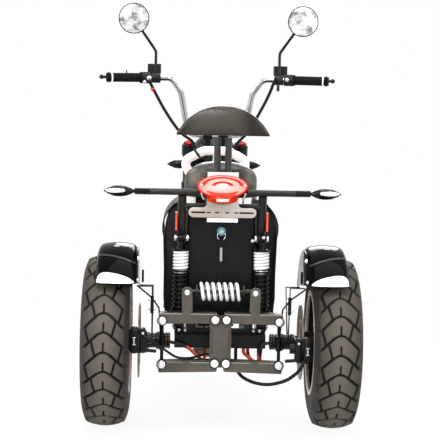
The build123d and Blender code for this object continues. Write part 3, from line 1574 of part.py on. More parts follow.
def bar_cable(side):
    """Cable from a lever's perch to the side of the fork's upper clamp."""
    perch = Vector(*bar_spot(lever_perch_along, side))
    clamp = Vector(*steered(clamp_high_up + clamp_thickness / 2, fork_offset, side * leg_side))
    foot = perch - Vector(0, 0, lever_perch_radius + seat_gap)
    route = [tuple(foot), tuple(foot - Vector(0, 0, lever_perch_radius))]
    route.extend(tuple(clamp + Vector(side * x, ahead, up)) for x, ahead, up in cable_route)
    route.append(tuple(clamp + Vector(side * (clamp_boss_radius + seat_gap), 0, 0)))
    return hose(route, cable_radius)


# Wheels
for side, name in zip(SIDES, ("left", "right")):
    hub = (side * half_track, rear_axle_y, axle_z)
    save(f"rear_tyre_{name}", tyre(hub))
    save(f"rear_rim_{name}", Pos(*hub) * to_side(rear_rim(), side))
    save(f"rear_disc_{name}", Pos(side * disc_x, rear_axle_y, axle_z) * brake_disc(disc_radius))
save("front_tyre", tyre((0, front_axle_y, axle_z)))
save("front_rim", Pos(0, front_axle_y, axle_z) * front_rim())
save("front_disc", Pos(-front_disc_x, front_axle_y, axle_z) * brake_disc(front_disc_radius))

# Steering
save("fork", fork())
save("fork_caps", *fork_caps())
save("front_guard", front_guard())
save("front_caliper", front_caliper())
save("handlebar", handlebar())
save("bar_risers", *bar_risers())
save("grips", *grips())
save("bar_controls", *bar_controls())
save("mirror_shells", *mirror_shells())
save("mirror_panes", *mirror_panes())
save("headlamp", headlamp())
save("front_signals", *front_signals())
save("bar_cables", *[bar_cable(side) for side in SIDES])

# Frame and body
save("main_frame", main_frame())
save("rear_frame", rear_frame())
save("floor_board", floor_board())
save("controller_box", controller_box())
save("leg_shield", leg_shield())
save("rear_box", rear_box())
save("battery_block", battery_block())
save("box_lock", box_lock())
save("side_covers", *[side_cover(side) for side in SIDES])
save("side_reflectors", *[reflector(side) for side in SIDES])
save("signal_bar", signal_bar())
save("rear_signals", *[rear_signal(side) for side in SIDES])
save("tail_lamp_shell", tail_lamp_shell())
save("tail_lamp_lens", tail_lamp_lens())
save("plate_bracket", plate_bracket())
save("backrest_cushion", backrest_cushion())

# Saddle
save("saddle_cushion", saddle_cushion())
save("saddle_base", saddle_base())

# Rear suspension and linkage
save("swing_arm", swing_arm())
save("shocks", *[shock(side) for side in SIDES])
save("white_springs", *[shock_spring(white_spring_share, white_coils, side) for side in SIDES],
     cross_spring())
save("black_springs", *[shock_spring(black_spring_share, black_coils, side) for side in SIDES])
save("centre_plate", centre_plate())
save("link_arms", *[arm(side) for side in SIDES for arm in (upper_arm, lower_arm)])
save("link_hardware", *link_hardware(), *cross_damper())
save("axle_carriers", *[axle_carrier(side) for side in SIDES])
save("rear_guards", *[rear_guard(side) for side in SIDES])
save("rear_calipers", *[rear_caliper(side) for side in SIDES])
save("brake_hoses", axle_hose(left_hose, hose_radius), axle_hose(right_hose, large_hose_radius))
save("motor_leads", *[axle_hose(route, lead_radius) for route in (left_lead, right_lead, phase_lead)])
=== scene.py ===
"""Looks of a three-wheeled electric scooter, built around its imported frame.

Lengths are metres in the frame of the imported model: +Y forward, +X to the rider's right, +Z up.
"""

from __future__ import annotations

import json
import logging
import math
from contextlib import contextmanager
from dataclasses import dataclass
from enum import Enum
from typing import Any, Callable, Iterator, Sequence

import bpy
import numpy as np
from mathutils import Matrix, Vector

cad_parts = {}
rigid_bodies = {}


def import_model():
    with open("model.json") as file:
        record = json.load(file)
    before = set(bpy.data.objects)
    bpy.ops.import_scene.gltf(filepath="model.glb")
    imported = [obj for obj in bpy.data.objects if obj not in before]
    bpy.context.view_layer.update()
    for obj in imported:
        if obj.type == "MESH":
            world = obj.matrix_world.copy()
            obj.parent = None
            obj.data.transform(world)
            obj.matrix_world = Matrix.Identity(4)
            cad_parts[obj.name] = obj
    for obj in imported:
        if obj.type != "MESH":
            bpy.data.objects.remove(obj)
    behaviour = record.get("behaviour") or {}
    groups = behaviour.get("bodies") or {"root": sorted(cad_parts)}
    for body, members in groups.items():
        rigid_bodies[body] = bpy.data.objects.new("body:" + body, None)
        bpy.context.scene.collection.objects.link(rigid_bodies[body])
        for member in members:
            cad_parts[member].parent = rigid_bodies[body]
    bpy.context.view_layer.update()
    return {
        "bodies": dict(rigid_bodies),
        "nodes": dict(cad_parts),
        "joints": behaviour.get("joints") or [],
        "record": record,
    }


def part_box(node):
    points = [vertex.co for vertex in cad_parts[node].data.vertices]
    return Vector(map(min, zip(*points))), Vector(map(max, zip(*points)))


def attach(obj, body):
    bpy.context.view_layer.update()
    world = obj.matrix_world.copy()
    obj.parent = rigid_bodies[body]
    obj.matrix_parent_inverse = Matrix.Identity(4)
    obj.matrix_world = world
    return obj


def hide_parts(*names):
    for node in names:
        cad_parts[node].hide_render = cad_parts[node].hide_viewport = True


LOG = logging.getLogger("scooter")
MM = 0.001
SIDES = (-1, 1)
TURN = 2 * math.pi
WHITE = (1, 1, 1, 1)
ACROSS, ALONG, UP = Vector((1, 0, 0)), Vector((0, 1, 0)), Vector((0, 0, 1))
REAR_AXLE = (-0.640, 0.250)

# Spans of noise, and of an edge's turn, over which a second shade, gloss or wear comes in
PATCH_SPAN = (0.35, 0.65)
GLOSS_SPAN = (0.3, 0.7)
RUB_SPAN = (0.4, 0.6)
EDGE_SPAN = (0.985, 0.90)
RUB_MM = 14.0
RUB_LOW_SHARE = 0.3
COAT_ROUGHNESS = 0.06
LEAST_ROUGHNESS = 0.02
BRUSH_STRETCH = (0.04, 1.0, 1.0)


def linear(colour: str) -> tuple[float, float, float, float]:
    """Turns an sRGB hex colour to linear light.

    Args:
        colour: The colour as #rrggbb.

    Returns:
        Red, green, blue and a full alpha.
    """
    channels = []
    for start in (1, 3, 5):
        value = int(colour[start:start + 2], 16) / 255
        channels.append(value / 12.92 if value <= 0.04045 else ((value + 0.055) / 1.055) ** 2.4)
    return (*channels, 1.0)


def add_node(tree: bpy.types.NodeTree, kind: str, inputs: dict[Any, Any] | None = None,
             **settings: Any) -> bpy.types.Node:
    """Adds a node with its settings and its inputs.

    Args:
        tree: The node tree that gets the node.
        kind: The node's type.
        inputs: Values by socket name or number; a socket as value is linked.
        settings: Attributes of the node itself.

    Returns:
        The new node.
    """
    node = tree.nodes.new(kind)
    for name, value in settings.items():
        setattr(node, name, value)
    for key, value in (inputs or {}).items():
        if isinstance(value, bpy.types.NodeSocket):
            tree.links.new(value, node.inputs[key])
        else:
            node.inputs[key].default_value = value
    return node


def maths(tree: bpy.types.NodeTree, operation: str, *values: Any) -> bpy.types.NodeSocket:
    """Result of one step of arithmetic on numbers or their sockets."""
    return add_node(tree, "ShaderNodeMath", dict(enumerate(values)), operation=operation).outputs[0]


def vectors(tree: bpy.types.NodeTree, operation: str, *values: Any,
            result: str = "Vector") -> bpy.types.NodeSocket:
    """Result of one step of arithmetic on vectors or their sockets."""
    return add_node(tree, "ShaderNodeVectorMath", dict(enumerate(values)),
                    operation=operation).outputs[result]


class Grain(Enum):
    """How a surface was made, and so what its fine relief looks like."""

    SPRAYED = "sprayed"
    MOULDED = "moulded"
    BRUSHED = "brushed"
    CAST = "cast"
    EMBOSSED = "embossed"
    RIBBED = "ribbed"


@dataclass(frozen=True)
class Zone:
    """Box of the row frame, in millimetres, in which a surface has another colour."""

    low: tuple[float, float, float]
    high: tuple[float, float, float]
    colour: str
    blend: float = 1.0


@dataclass(frozen=True)
class Finish:
    """One real surface: its colours, gloss, relief and worn edges."""

    name: str
    colour: str
    shade: str
    roughness: float
    metallic: float = 0.0
    coat: float = 0.0
    specular: float = 0.5
    grain: Grain = Grain.SPRAYED
    grain_mm: float = 3.0
    relief_mm: float = 0.03
    patch_mm: float = 70.0
    roughness_spread: float = 0.06
    edge_mm: float = 0.9
    worn: str = ""
    worn_share: float = 0.5
    zones: tuple[Zone, ...] = ()

    def material(self) -> bpy.types.Material:
        """Makes the material once.

        Returns:
            The material of this finish.
        """
        found = bpy.data.materials.get(self.name)
        if found:
            return found
        made = bpy.data.materials.new(self.name)
        made.use_nodes = True
        tree = made.node_tree
        tree.nodes.clear()
        where = add_node(tree, "ShaderNodeTexCoord").outputs["Object"]
        soft = self.soft_normal(tree)
        colour = self.worn_edges(tree, where, soft, self.colours(tree, where))
        shader = add_node(tree, "ShaderNodeBsdfPrincipled", {
            "Base Color": colour,
            "Roughness": self.gloss(tree, where),
            "Normal": self.relief(tree, where, soft),
            "Metallic": self.metallic,
            "Specular IOR Level": self.specular,
            "Coat Weight": self.coat,
            "Coat Roughness": COAT_ROUGHNESS,
        })
        add_node(tree, "ShaderNodeOutputMaterial", {"Surface": shader.outputs["BSDF"]})
        return made

    def noise(self, tree: bpy.types.NodeTree, where: bpy.types.NodeSocket, size_mm: float,
              detail: float = 2.0) -> bpy.types.NodeSocket:
        """Noise between 0 and 1 whose features have a real size, with octaves of detail."""
        return add_node(tree, "ShaderNodeTexNoise", {
            "Vector": where, "Scale": 1 / (size_mm * MM), "Detail": detail}).outputs["Fac"]

    def mixed(self, tree: bpy.types.NodeTree, share: Any, first: Any,
              second: Any) -> bpy.types.NodeSocket:
        """Mix of two colours by the share of the second."""
        return add_node(tree, "ShaderNodeMix", {0: share, 6: first, 7: second},
                        data_type="RGBA").outputs[2]

    def ranged(self, tree: bpy.types.NodeTree, value: bpy.types.NodeSocket,
               span: tuple[float, float], result: tuple[float, float]) -> bpy.types.NodeSocket:
        """Value carried over from one span to another and held at its ends."""
        return add_node(tree, "ShaderNodeMapRange", {
            "Value": value, "From Min": span[0], "From Max": span[1],
            "To Min": result[0], "To Max": result[1]}).outputs["Result"]

    def colours(self, tree: bpy.types.NodeTree,
                where: bpy.types.NodeSocket) -> bpy.types.NodeSocket:
        """Base colour with soft patches of a second shade, and the zones' colours.

        Args:
            tree: The material's nodes.
            where: Coordinates in metres.

        Returns:
            The colour before wear.
        """
        patches = self.ranged(tree, self.noise(tree, where, self.patch_mm, 4.0), PATCH_SPAN, (0, 1))
        colour = self.mixed(tree, patches, linear(self.colour), linear(self.shade))
        for zone in self.zones:
            colour = self.mixed(tree, self.inside(tree, where, zone), colour, linear(zone.colour))
        return colour

    def inside(self, tree: bpy.types.NodeTree, where: bpy.types.NodeSocket,
               zone: Zone) -> bpy.types.NodeSocket:
        """Tells what lies in a zone.

        Args:
            tree: The material's nodes.
            where: Coordinates in metres.
            zone: The zone.

        Returns:
            1 inside the zone and 0 outside it.
        """
        low, high = Vector(zone.low) * MM, Vector(zone.high) * MM
        away = vectors(tree, "ABSOLUTE", vectors(tree, "SUBTRACT", where, (low + high) / 2))
        away = vectors(tree, "SUBTRACT", away, (high - low) / 2)
        parts = add_node(tree, "ShaderNodeSeparateXYZ", {"Vector": away}).outputs
        widest = maths(tree, "MAXIMUM", maths(tree, "MAXIMUM", parts["X"], parts["Y"]), parts["Z"])
        return self.ranged(tree, widest, (0.0, zone.blend * MM), (1, 0))

    def soft_normal(self, tree: bpy.types.NodeTree) -> bpy.types.NodeSocket:
        """Normal that rounds off the sharp edges of machined and folded metal."""
        return add_node(tree, "ShaderNodeBevel", {"Radius": self.edge_mm * MM},
                        samples=4).outputs["Normal"]

    def worn_edges(self, tree: bpy.types.NodeTree, where: bpy.types.NodeSocket,
                   soft: bpy.types.NodeSocket, colour: bpy.types.NodeSocket) -> bpy.types.NodeSocket:
        """Rubs a lighter colour into the edges.

        Args:
            tree: The material's nodes.
            where: Coordinates in metres.
            soft: The rounded normal.
            colour: The colour away from the edges.

        Returns:
            The worn colour, or the same colour if nothing is worn.
        """
        if not self.worn:
            return colour
        plain = add_node(tree, "ShaderNodeNewGeometry").outputs["Normal"]
        edge = self.ranged(tree, vectors(tree, "DOT_PRODUCT", soft, plain, result="Value"),
                           EDGE_SPAN, (0, 1))
        rubbed = self.ranged(tree, self.noise(tree, where, RUB_MM, 3.0), RUB_SPAN,
                             (self.worn_share * RUB_LOW_SHARE, self.worn_share))
        return self.mixed(tree, maths(tree, "MULTIPLY", edge, rubbed), colour, linear(self.worn))

    def gloss(self, tree: bpy.types.NodeTree, where: bpy.types.NodeSocket) -> bpy.types.NodeSocket:
        """Roughness that drifts a little over the surface."""
        low = max(self.roughness - self.roughness_spread, LEAST_ROUGHNESS)
        return self.ranged(tree, self.noise(tree, where, self.patch_mm / 3, 3.0), GLOSS_SPAN,
                           (low, self.roughness + self.roughness_spread))

    def relief(self, tree: bpy.types.NodeTree, where: bpy.types.NodeSocket,
               soft: bpy.types.NodeSocket) -> bpy.types.NodeSocket:
        """Adds the fine relief of the way the surface was made.

        Args:
            tree: The material's nodes.
            where: Coordinates in metres.
            soft: The rounded normal that carries the relief.

        Returns:
            The normal with its relief.
        """
        scale = 1 / (self.grain_mm * MM)
        if self.grain is Grain.EMBOSSED:
            height = add_node(tree, "ShaderNodeTexVoronoi", {"Vector": where, "Scale": scale},
                              feature="DISTANCE_TO_EDGE").outputs["Distance"]
        elif self.grain is Grain.RIBBED:
            height = add_node(tree, "ShaderNodeTexWave", {
                "Vector": where, "Scale": scale / TURN}).outputs["Fac"]
        else:
            drawn = where
            if self.grain is Grain.BRUSHED:
                drawn = add_node(tree, "ShaderNodeMapping", {
                    "Vector": where, "Scale": BRUSH_STRETCH}).outputs["Vector"]
            height = self.noise(tree, drawn, self.grain_mm, 6.0 if self.grain is Grain.CAST else 2.0)
        return add_node(tree, "ShaderNodeBump", {
            "Height": height, "Distance": self.relief_mm * MM, "Strength": 1.0,
            "Normal": soft}).outputs["Normal"]


@dataclass(frozen=True)
class TreadRubber(Finish):
    """Tyre rubber: blocks with a painted highlight toward the middle of the crown, grooves darkened with
    painted shade and pale moulding marks, by the tyre's attributes.
    """

    # Painted shade: the grooves' floors are darker than the same rubber on the blocks
    groove: str = "#0c0b0a"
    mark: str = "#d9d6cf"
    # Painted highlight: lighter warm grey toward the middle of the crown, where it faces the light
    crown_light: str = "#5a554d"

    def colours(self, tree: bpy.types.NodeTree,
                where: bpy.types.NodeSocket) -> bpy.types.NodeSocket:
        """Block colour with a painted highlight on the middle of the crown, grooves darkened with painted
        shade, and pale marks.

        Args:
            tree: The material's nodes.
            where: Coordinates in metres.

        Returns:
            The colour before wear.
        """
        colour = Finish.colours(self, tree, where)
        for name, tint in (("crown_light", self.crown_light), ("groove", self.groove), ("mark", self.mark)):
            share = add_node(tree, "ShaderNodeAttribute", attribute_name=name).outputs["Fac"]
            colour = self.mixed(tree, share, colour, linear(tint))
        return colour


@dataclass(frozen=True)
class LampFace(Finish):
    """Moulded lamp lens: pink in the middle, a red rim and red light guides in arcs; the pink, palest in
    the middle, is a painted highlight over the lens's own red.
    """

    centre: tuple[float, float, float] = (0.0, 0.0, 0.0)
    half: tuple[float, float] = (0.066, 0.028)
    rim: str = "#d8140c"
    # Painted highlight: the pale pink middle, fading to the pink body colour toward the rim
    pale: str = "#f0bfb8"
    guide: str = "#dd1c0e"
    painted_highlight_span: tuple[float, float] = (0.1, 0.8)
    upper_span: tuple[float, float] = (-0.05, 0.12)
    rim_span: tuple[float, float] = (0.90, 0.95)
    guides: tuple[tuple[float, float], ...] = ((0.36, 0.10), (0.76, 0.09))
    guide_core_share: float = 0.7

    def colours(self, tree: bpy.types.NodeTree,
                where: bpy.types.NodeSocket) -> bpy.types.NodeSocket:
        """Rings about the lamp's centre, read across the lens and up it.

        Args:
            tree: The material's nodes.
            where: Coordinates in metres.

        Returns:
            The colour before wear.
        """
        wide, high = self.half
        placed = add_node(tree, "ShaderNodeMapping", {
            "Vector": where, "Location": (-self.centre[0] / wide, 0.0, -self.centre[2] / high),
            "Scale": (1 / wide, 0.0, 1 / high)}).outputs["Vector"]
        out = vectors(tree, "LENGTH", placed, result="Value")
        parts = add_node(tree, "ShaderNodeSeparateXYZ", {"Vector": placed}).outputs
        base = self.mixed(tree, self.ranged(tree, out, self.painted_highlight_span, (0, 1)), linear(self.pale),
                          linear(self.colour))
        upper = self.ranged(tree, parts["Z"], self.upper_span, (0, 1))
        for middle, half in self.guides:
            near = maths(tree, "ABSOLUTE", maths(tree, "SUBTRACT", out, middle))
            band = self.ranged(tree, near, (half, half * self.guide_core_share), (0, 1))
            base = self.mixed(tree, maths(tree, "MULTIPLY", band, upper), base, linear(self.guide))
        edge = self.ranged(tree, out, self.rim_span, (0, 1))
        return self.mixed(tree, edge, base, linear(self.rim))


# Carbon-black tyre rubber, moulded, matt; the warm grey toward the middle of the blocks is a painted
# highlight
TYRE_RUBBER = TreadRubber("moulded_tyre_rubber", "#2f2d2a", "#262421", 0.62, grain=Grain.MOULDED,
                          grain_mm=1.6, relief_mm=0.12, patch_mm=40, edge_mm=0.1, specular=0.12)
# Cast aluminium, painted black: deep black with a soft shine
CAST_BLACK = Finish("cast_alloy_black_paint", "#0d0d0e", "#151515", 0.24, specular=0.25, grain_mm=4,
                    relief_mm=0.02)
# Turned stainless steel: warm grey, with circular tool marks too fine to show
DISC_STEEL = Finish("turned_disc_steel", "#7d7263", "#5f554a", 0.36, metallic=0.8,
                    grain=Grain.BRUSHED, grain_mm=1.5, relief_mm=0.02)
# Two-pack black paint: deep and glossy
GLOSS_BLACK = Finish("two_pack_gloss_black", "#050505", "#090909", 0.12, specular=0.02,
                     grain_mm=9, relief_mm=0.02, edge_mm=1.5)
# Black enamel on steel tube and forgings: glossy, with rubbed edges
BLACK_ENAMEL = Finish("black_enamel", "#0b0b0c", "#121212", 0.28, specular=0.18, worn="#4a4744",
                      worn_share=0.35)
# Red anodised aluminium: saturated, with a metal sheen
RED_ANODISED = Finish("red_anodised_aluminium", "#d4101c", "#a80c16", 0.28, metallic=0.6,
                      grain_mm=1.5, relief_mm=0.02)
# Chromium plate on polished steel tube: mirror bright
CHROME = Finish("chromium_plate", "#d4d3d2", "#b9b7b5", 0.07, metallic=1.0, grain_mm=12,
                relief_mm=0.01, roughness_spread=0.03)
# Moulded grip rubber: matt, with ribs round the bar
GRIP_RUBBER = Finish("ribbed_grip_rubber", "#0b0a0a", "#121111", 0.70, specular=0.08,
                     grain=Grain.RIBBED, grain_mm=4.0, relief_mm=0.5, edge_mm=0.6)
# Glass-filled nylon: black, with a fine moulded grain
NYLON_BLACK = Finish("moulded_nylon_black", "#101010", "#181818", 0.46, specular=0.2, grain=Grain.MOULDED,
                     grain_mm=1.2, relief_mm=0.05, worn="#55524f", worn_share=0.2)
# Polypropylene footboard: matt black
FOOTBOARD = Finish("polypropylene_footboard", "#121212", "#1a1a19", 0.6, specular=0.2, grain=Grain.RIBBED,
                   grain_mm=9.0, relief_mm=0.8)
# Silvered glass: a painted reflection, white with cool grey patches that stand for a dull surrounding
MIRROR_PAINTED_REFLECTION = Finish("silvered_glass", "#f6f6f6", "#6e6e72", 0.14, metallic=0.1, patch_mm=24,
                grain_mm=14, relief_mm=0.06, edge_mm=0.5)
# Pearl white enamel: warm white under clear lacquer
PEARL_WHITE = Finish("pearl_white_enamel", "#f4ebe8", "#eadfdc", 0.26, coat=0.9, grain_mm=8,
                     relief_mm=0.02)
# Dark grey powder coat: fine orange peel, satin
GREY_POWDER = Finish("dark_grey_powder_coat", "#262421", "#1f1d1b", 0.40, specular=0.25, grain_mm=1.6,
                     relief_mm=0.05, worn="#6d6962", worn_share=0.4)
# Gunmetal powder coat on pressed steel: warm grey with metal flake; its zones paint a dark band of shade
# on each link arm's top flange and a light line of painted highlight under it
GUNMETAL_PAINTED_SHADE_AND_HIGHLIGHT = Finish("gunmetal_powder_coat", "#524d46", "#49443e", 0.42, metallic=0.3, grain_mm=1.8,
                  relief_mm=0.05, worn="#a39b8f", worn_share=0.8, zones=tuple(
                      Zone((low, -730, bottom), (high, -640, top), colour, 0.4)
                      for low, high in ((-184, -112), (-86, -10), (10, 86), (112, 184))
                      # Painted shade (dark) and painted highlight (light) at the upper and the lower arms'
                      # top flanges
                      for bottom, top, colour in ((340.5, 347, "#0d0c0b"), (337.0, 340, "#8f887c"),
                                                  (199.5, 205, "#0d0c0b"), (196.5, 199, "#8f887c"))))
# Bright zinc plate on bolts and pins
ZINC = Finish("bright_zinc_plate", "#f6f6f6", "#e2e2e4", 0.24, metallic=0.5, grain=Grain.CAST,
              grain_mm=2.0, relief_mm=0.02)
# The same plate on the linkage's bolts, with the cross spring's rod blackened
LINK_ZINC = Finish("zinc_and_blackened_rod", "#f6f6f6", "#e2e2e4", 0.24, metallic=0.5,
                   grain=Grain.CAST, grain_mm=2.0, relief_mm=0.02,
                   zones=(Zone((-91, -705, 376), (91, -655, 426), "#242220"),))
# White powder coat on spring wire
SPRING_WHITE = Finish("white_powder_coat", "#f2f1f0", "#e4e2e0", 0.35, coat=0.3, grain_mm=1.6,
                      relief_mm=0.03)
# Black powder coat on spring wire
SPRING_BLACK = Finish("black_powder_coat", "#0c0c0d", "#141414", 0.30, specular=0.2, grain_mm=1.6,
                      relief_mm=0.03)
# Grained upholstery vinyl: dark, with a broad soft shine; its zones are painted highlights on the saddle's
# rear shoulders and the backrest's upper middle
VINYL_PAINTED_HIGHLIGHTS = Finish("upholstery_vinyl", "#191613", "#211d19", 0.30, grain=Grain.EMBOSSED, grain_mm=2.4,
               relief_mm=0.16, patch_mm=60, edge_mm=0.3, specular=0.28, zones=(
                   # Painted highlights: the saddle's left and right rear shoulders, then the backrest's
                   # upper middle
                   Zone((-92, -550, 716), (-72, -500, 736), "#6a645a", 30.0),
                   Zone((78, -550, 716), (92, -500, 736), "#565047", 28.0),
                   Zone((-70, -660, 884), (34, -600, 912), "#403b35", 48.0)))
# Brushed stainless steel with a warm cast
BRUSHED_STEEL = Finish("brushed_stainless_steel", "#cdc5bd", "#b3a89f", 0.36, metallic=0.6,
                       grain=Grain.BRUSHED, grain_mm=1.2, relief_mm=0.03)
# Moulded acrylic reflector: orange prisms
REFLECTOR = Finish("orange_acrylic_reflector", "#e8501c", "#c8380e", 0.16, coat=0.8,
                   grain=Grain.EMBOSSED, grain_mm=3.0, relief_mm=0.25)
# Chrome-plated lock barrel with a blue-green cast
LOCK_CHROME = Finish("blued_chrome_lock", "#5aa7b4", "#3c7f8c", 0.14, metallic=0.8, grain_mm=5, zones=(
    Zone((-30, -660, 543), (30, -601.5, 660), "#c9c8c6"),
    Zone((-30, -660, 523), (30, -601.5, 547), "#1a1918"),
    Zone((-30, -660, 480), (30, -601.5, 523), "#b9b7b3")))
# Black ABS, moulded and polished
GLOSS_ABS = Finish("polished_abs_black", "#090909", "#0f0f10", 0.20, specular=0.2, grain=Grain.MOULDED,
                   grain_mm=5.0, relief_mm=0.02)
# Cast caliper, hard coated: silver grey
CALIPER_SILVER = Finish("hard_coated_cast_alloy", "#3c3a37", "#2f2d2b", 0.40, metallic=0.4,
                        grain=Grain.CAST, grain_mm=2.2, relief_mm=0.08, worn="#b8b2a8")
# Braided hose sleeve: black, close woven
HOSE_BLACK = Finish("braided_hose_black", "#0c0c0c", "#141414", 0.5, specular=0.2, grain=Grain.EMBOSSED,
                    grain_mm=1.5, relief_mm=0.2)

# Clear acrylic over a pale reflector on the signals; on the rear guards' tail panels this pale colour is a
# painted reflection of the white floor in the black lip
PALE_LENS_AND_PAINTED_REFLECTION = Finish("pale_acrylic_lens", "#f4f2ef", "#dedbd7", 0.12, coat=0.8, grain_mm=7,
                   relief_mm=0.1, patch_mm=18)
# Red acrylic side of the lamp with its bulb window
RED_WINDOW = Finish("red_acrylic_window", "#e03c12", "#b81c08", 0.2, coat=0.2, grain_mm=4,
                    relief_mm=0.15, patch_mm=14, zones=(
                        Zone((-18, -760, 666), (16, -600, 672), "#f6e4d8", 2.0),
                        Zone((-60, -760, 640), (60, -600, 659), "#2a0d08", 1.0),))
# White painted steel strip, blank
WHITE_STRIP = Finish("white_painted_strip", "#f2f1f0", "#e8e6e4", 0.4, grain_mm=3)
# Machined rim face: pinkish silver under clear lacquer
RIM_FACE = Finish("machined_rim_face", "#c9b1aa", "#a8918b", 0.3, metallic=0.4,
                  grain=Grain.BRUSHED, grain_mm=1.5)
# Copper-coloured sealing rings
COPPER = Finish("copper_seal", "#6e4a3a", "#57392c", 0.35, metallic=0.6, grain_mm=2)
# Motor leads: black ribbed sleeves that end in orange cable
LEAD_SLEEVE = Finish("orange_silicone_sleeve", "#c8481a", "#a83a14", 0.5, specular=0.3,
                     grain=Grain.MOULDED, grain_mm=3.0, relief_mm=0.2, zones=(
                         Zone((-400, -900, 0), (-98, -300, 400), "#0e0e0e"),
                         Zone((90, -900, 213), (400, -300, 400), "#0e0e0e")))

NODE_FINISHES: dict[str, Finish] = {
    "rear_rim_left": CAST_BLACK, "rear_rim_right": CAST_BLACK, "front_rim": CAST_BLACK,
    "rear_disc_left": DISC_STEEL, "rear_disc_right": DISC_STEEL, "front_disc": DISC_STEEL,
    "fork": BLACK_ENAMEL, "fork_caps": RED_ANODISED, "front_guard": GLOSS_BLACK,
    "front_caliper": CALIPER_SILVER, "handlebar": CHROME, "bar_risers": BLACK_ENAMEL,
    "grips": GRIP_RUBBER, "bar_controls": NYLON_BLACK, "mirror_shells": GLOSS_ABS,
    "mirror_panes": MIRROR_PAINTED_REFLECTION, "headlamp": GLOSS_ABS, "front_signals": GLOSS_ABS,
    "main_frame": PEARL_WHITE, "rear_frame": GREY_POWDER, "floor_board": FOOTBOARD,
    "controller_box": NYLON_BLACK, "leg_shield": GLOSS_ABS, "rear_box": BLACK_ENAMEL,
    "battery_block": NYLON_BLACK, "box_lock": LOCK_CHROME, "side_covers": NYLON_BLACK,
    "side_reflectors": REFLECTOR, "signal_bar": GREY_POWDER, "rear_signals": GLOSS_ABS,
    "tail_lamp_shell": GLOSS_ABS, "plate_bracket": BRUSHED_STEEL, "saddle_base": NYLON_BLACK,
    "swing_arm": BLACK_ENAMEL, "shocks": BLACK_ENAMEL, "white_springs": SPRING_WHITE,
    "black_springs": SPRING_BLACK, "centre_plate": GUNMETAL_PAINTED_SHADE_AND_HIGHLIGHT, "link_arms": GUNMETAL_PAINTED_SHADE_AND_HIGHLIGHT,
    "link_hardware": LINK_ZINC, "axle_carriers": BLACK_ENAMEL, "rear_guards": GLOSS_BLACK,
    "rear_calipers": CALIPER_SILVER, "brake_hoses": HOSE_BLACK, "bar_cables": HOSE_BLACK,
    "motor_leads": LEAD_SLEEVE,
}


def focus(obj: bpy.types.Object | None = None) -> None:
    """Leaves edit mode and selects one object alone, or nothing.

    Args:
        obj: The object that becomes active.
    """
    if bpy.context.mode != "OBJECT":
        bpy.ops.object.mode_set(mode="OBJECT")
    bpy.ops.object.select_all(action="DESELECT")
    if obj:
        obj.select_set(True)
        bpy.context.view_layer.objects.active = obj


def settle(obj: bpy.types.Object) -> bpy.types.Object:
    """Applies an object's place, turn and scale to its mesh, and returns it."""
    focus(obj)
    bpy.ops.object.transform_apply(location=True, rotation=True, scale=True)
    return obj


def apply_modifiers(obj: bpy.types.Object) -> None:
    """Applies all modifiers of an object in their order."""
    focus(obj)
    for modifier in list(obj.modifiers):
        bpy.ops.object.modifier_apply(modifier=modifier.name)


def subdivide(obj: bpy.types.Object, levels: int) -> None:
    """Rounds a mesh by subdivision."""
    rounding = obj.modifiers.new("rounding", "SUBSURF")
    rounding.levels = rounding.render_levels = levels
    apply_modifiers(obj)


@contextmanager
def editing(obj: bpy.types.Object) -> Iterator[None]:
    """Opens an object in edit mode with all of its mesh selected, and leaves it afterwards.

    Args:
        obj: The mesh object.

    Yields:
        Nothing.
    """
    focus(obj)
    bpy.ops.object.mode_set(mode="EDIT")
    bpy.ops.mesh.select_all(action="SELECT")
    yield
    bpy.ops.object.mode_set(mode="OBJECT")


def merge(threshold: float = MM / 100) -> None:
    """Merges the points that coincide in the mesh in edit mode."""
    bpy.ops.mesh.select_all(action="SELECT")
    bpy.ops.mesh.remove_doubles(threshold=threshold)


def face_out() -> None:
    """Turns all faces of the mesh in edit mode outward."""
    bpy.ops.mesh.select_all(action="SELECT")
    bpy.ops.mesh.normals_make_consistent(inside=False)


def smooth(obj: bpy.types.Object, angle: float = 40.0) -> bpy.types.Object:
    """Shades a mesh smooth up to an angle in degrees, and returns it."""
    focus(obj)
    bpy.ops.object.shade_smooth_by_angle(angle=math.radians(angle))
    return obj


def chain(points: Sequence[Vector], closed: bool = False) -> bpy.types.Object:
    """Draws a chain of edges by extruding one vertex from point to point.

    Args:
        points: The points in order.
        closed: Whether the chain is closed and filled with one face.

    Returns:
        The new object, with its points in its mesh.
    """
    spots = [Vector(point) for point in points]
    focus()
    bpy.ops.mesh.primitive_plane_add(size=MM, location=spots[0])
    obj = settle(bpy.context.active_object)
    with editing(obj):
        bpy.ops.mesh.select_mode(type="VERT")
        bpy.ops.mesh.merge(type="CENTER")
        for start, end in zip(spots, [*spots[1:], spots[0]] if closed else spots[1:]):
            bpy.ops.mesh.extrude_vertices_move(TRANSFORM_OT_translate={"value": end - start})
        if closed:
            merge()
            bpy.ops.mesh.edge_face_add()
    return obj


def lathe(points: Sequence[Vector], centre: Vector, axis: Vector, steps: int = 32) -> bpy.types.Object:
    """Turns a drawn profile about an axis.

    Args:
        points: The profile, from one end to the other.
        centre: A point on the axis.
        axis: The axis' direction.
        steps: Facets in a full turn.

    Returns:
        The turned object.
    """
    obj = chain(points)
    with editing(obj):
        bpy.ops.mesh.spin(steps=steps, angle=TURN, center=centre, axis=axis)
        merge()
        face_out()
    return smooth(obj)


def ring(centre: Vector, axis: Vector, out: Vector, profile: Sequence[tuple[float, float]],
         steps: int = 28) -> bpy.types.Object:
    """Turns a closed profile about an axis.

    Args:
        centre: Where the profile is measured from.
        axis: The axis' direction.
        out: Direction of the profile's second number.
        profile: Corners as (place along the axis, distance from it).
        steps: Facets in a full turn.

    Returns:
        The ring.
    """
    points = [centre + axis * along + out * far for along, far in profile]
    return lathe([*points, points[0]], centre, axis, steps)


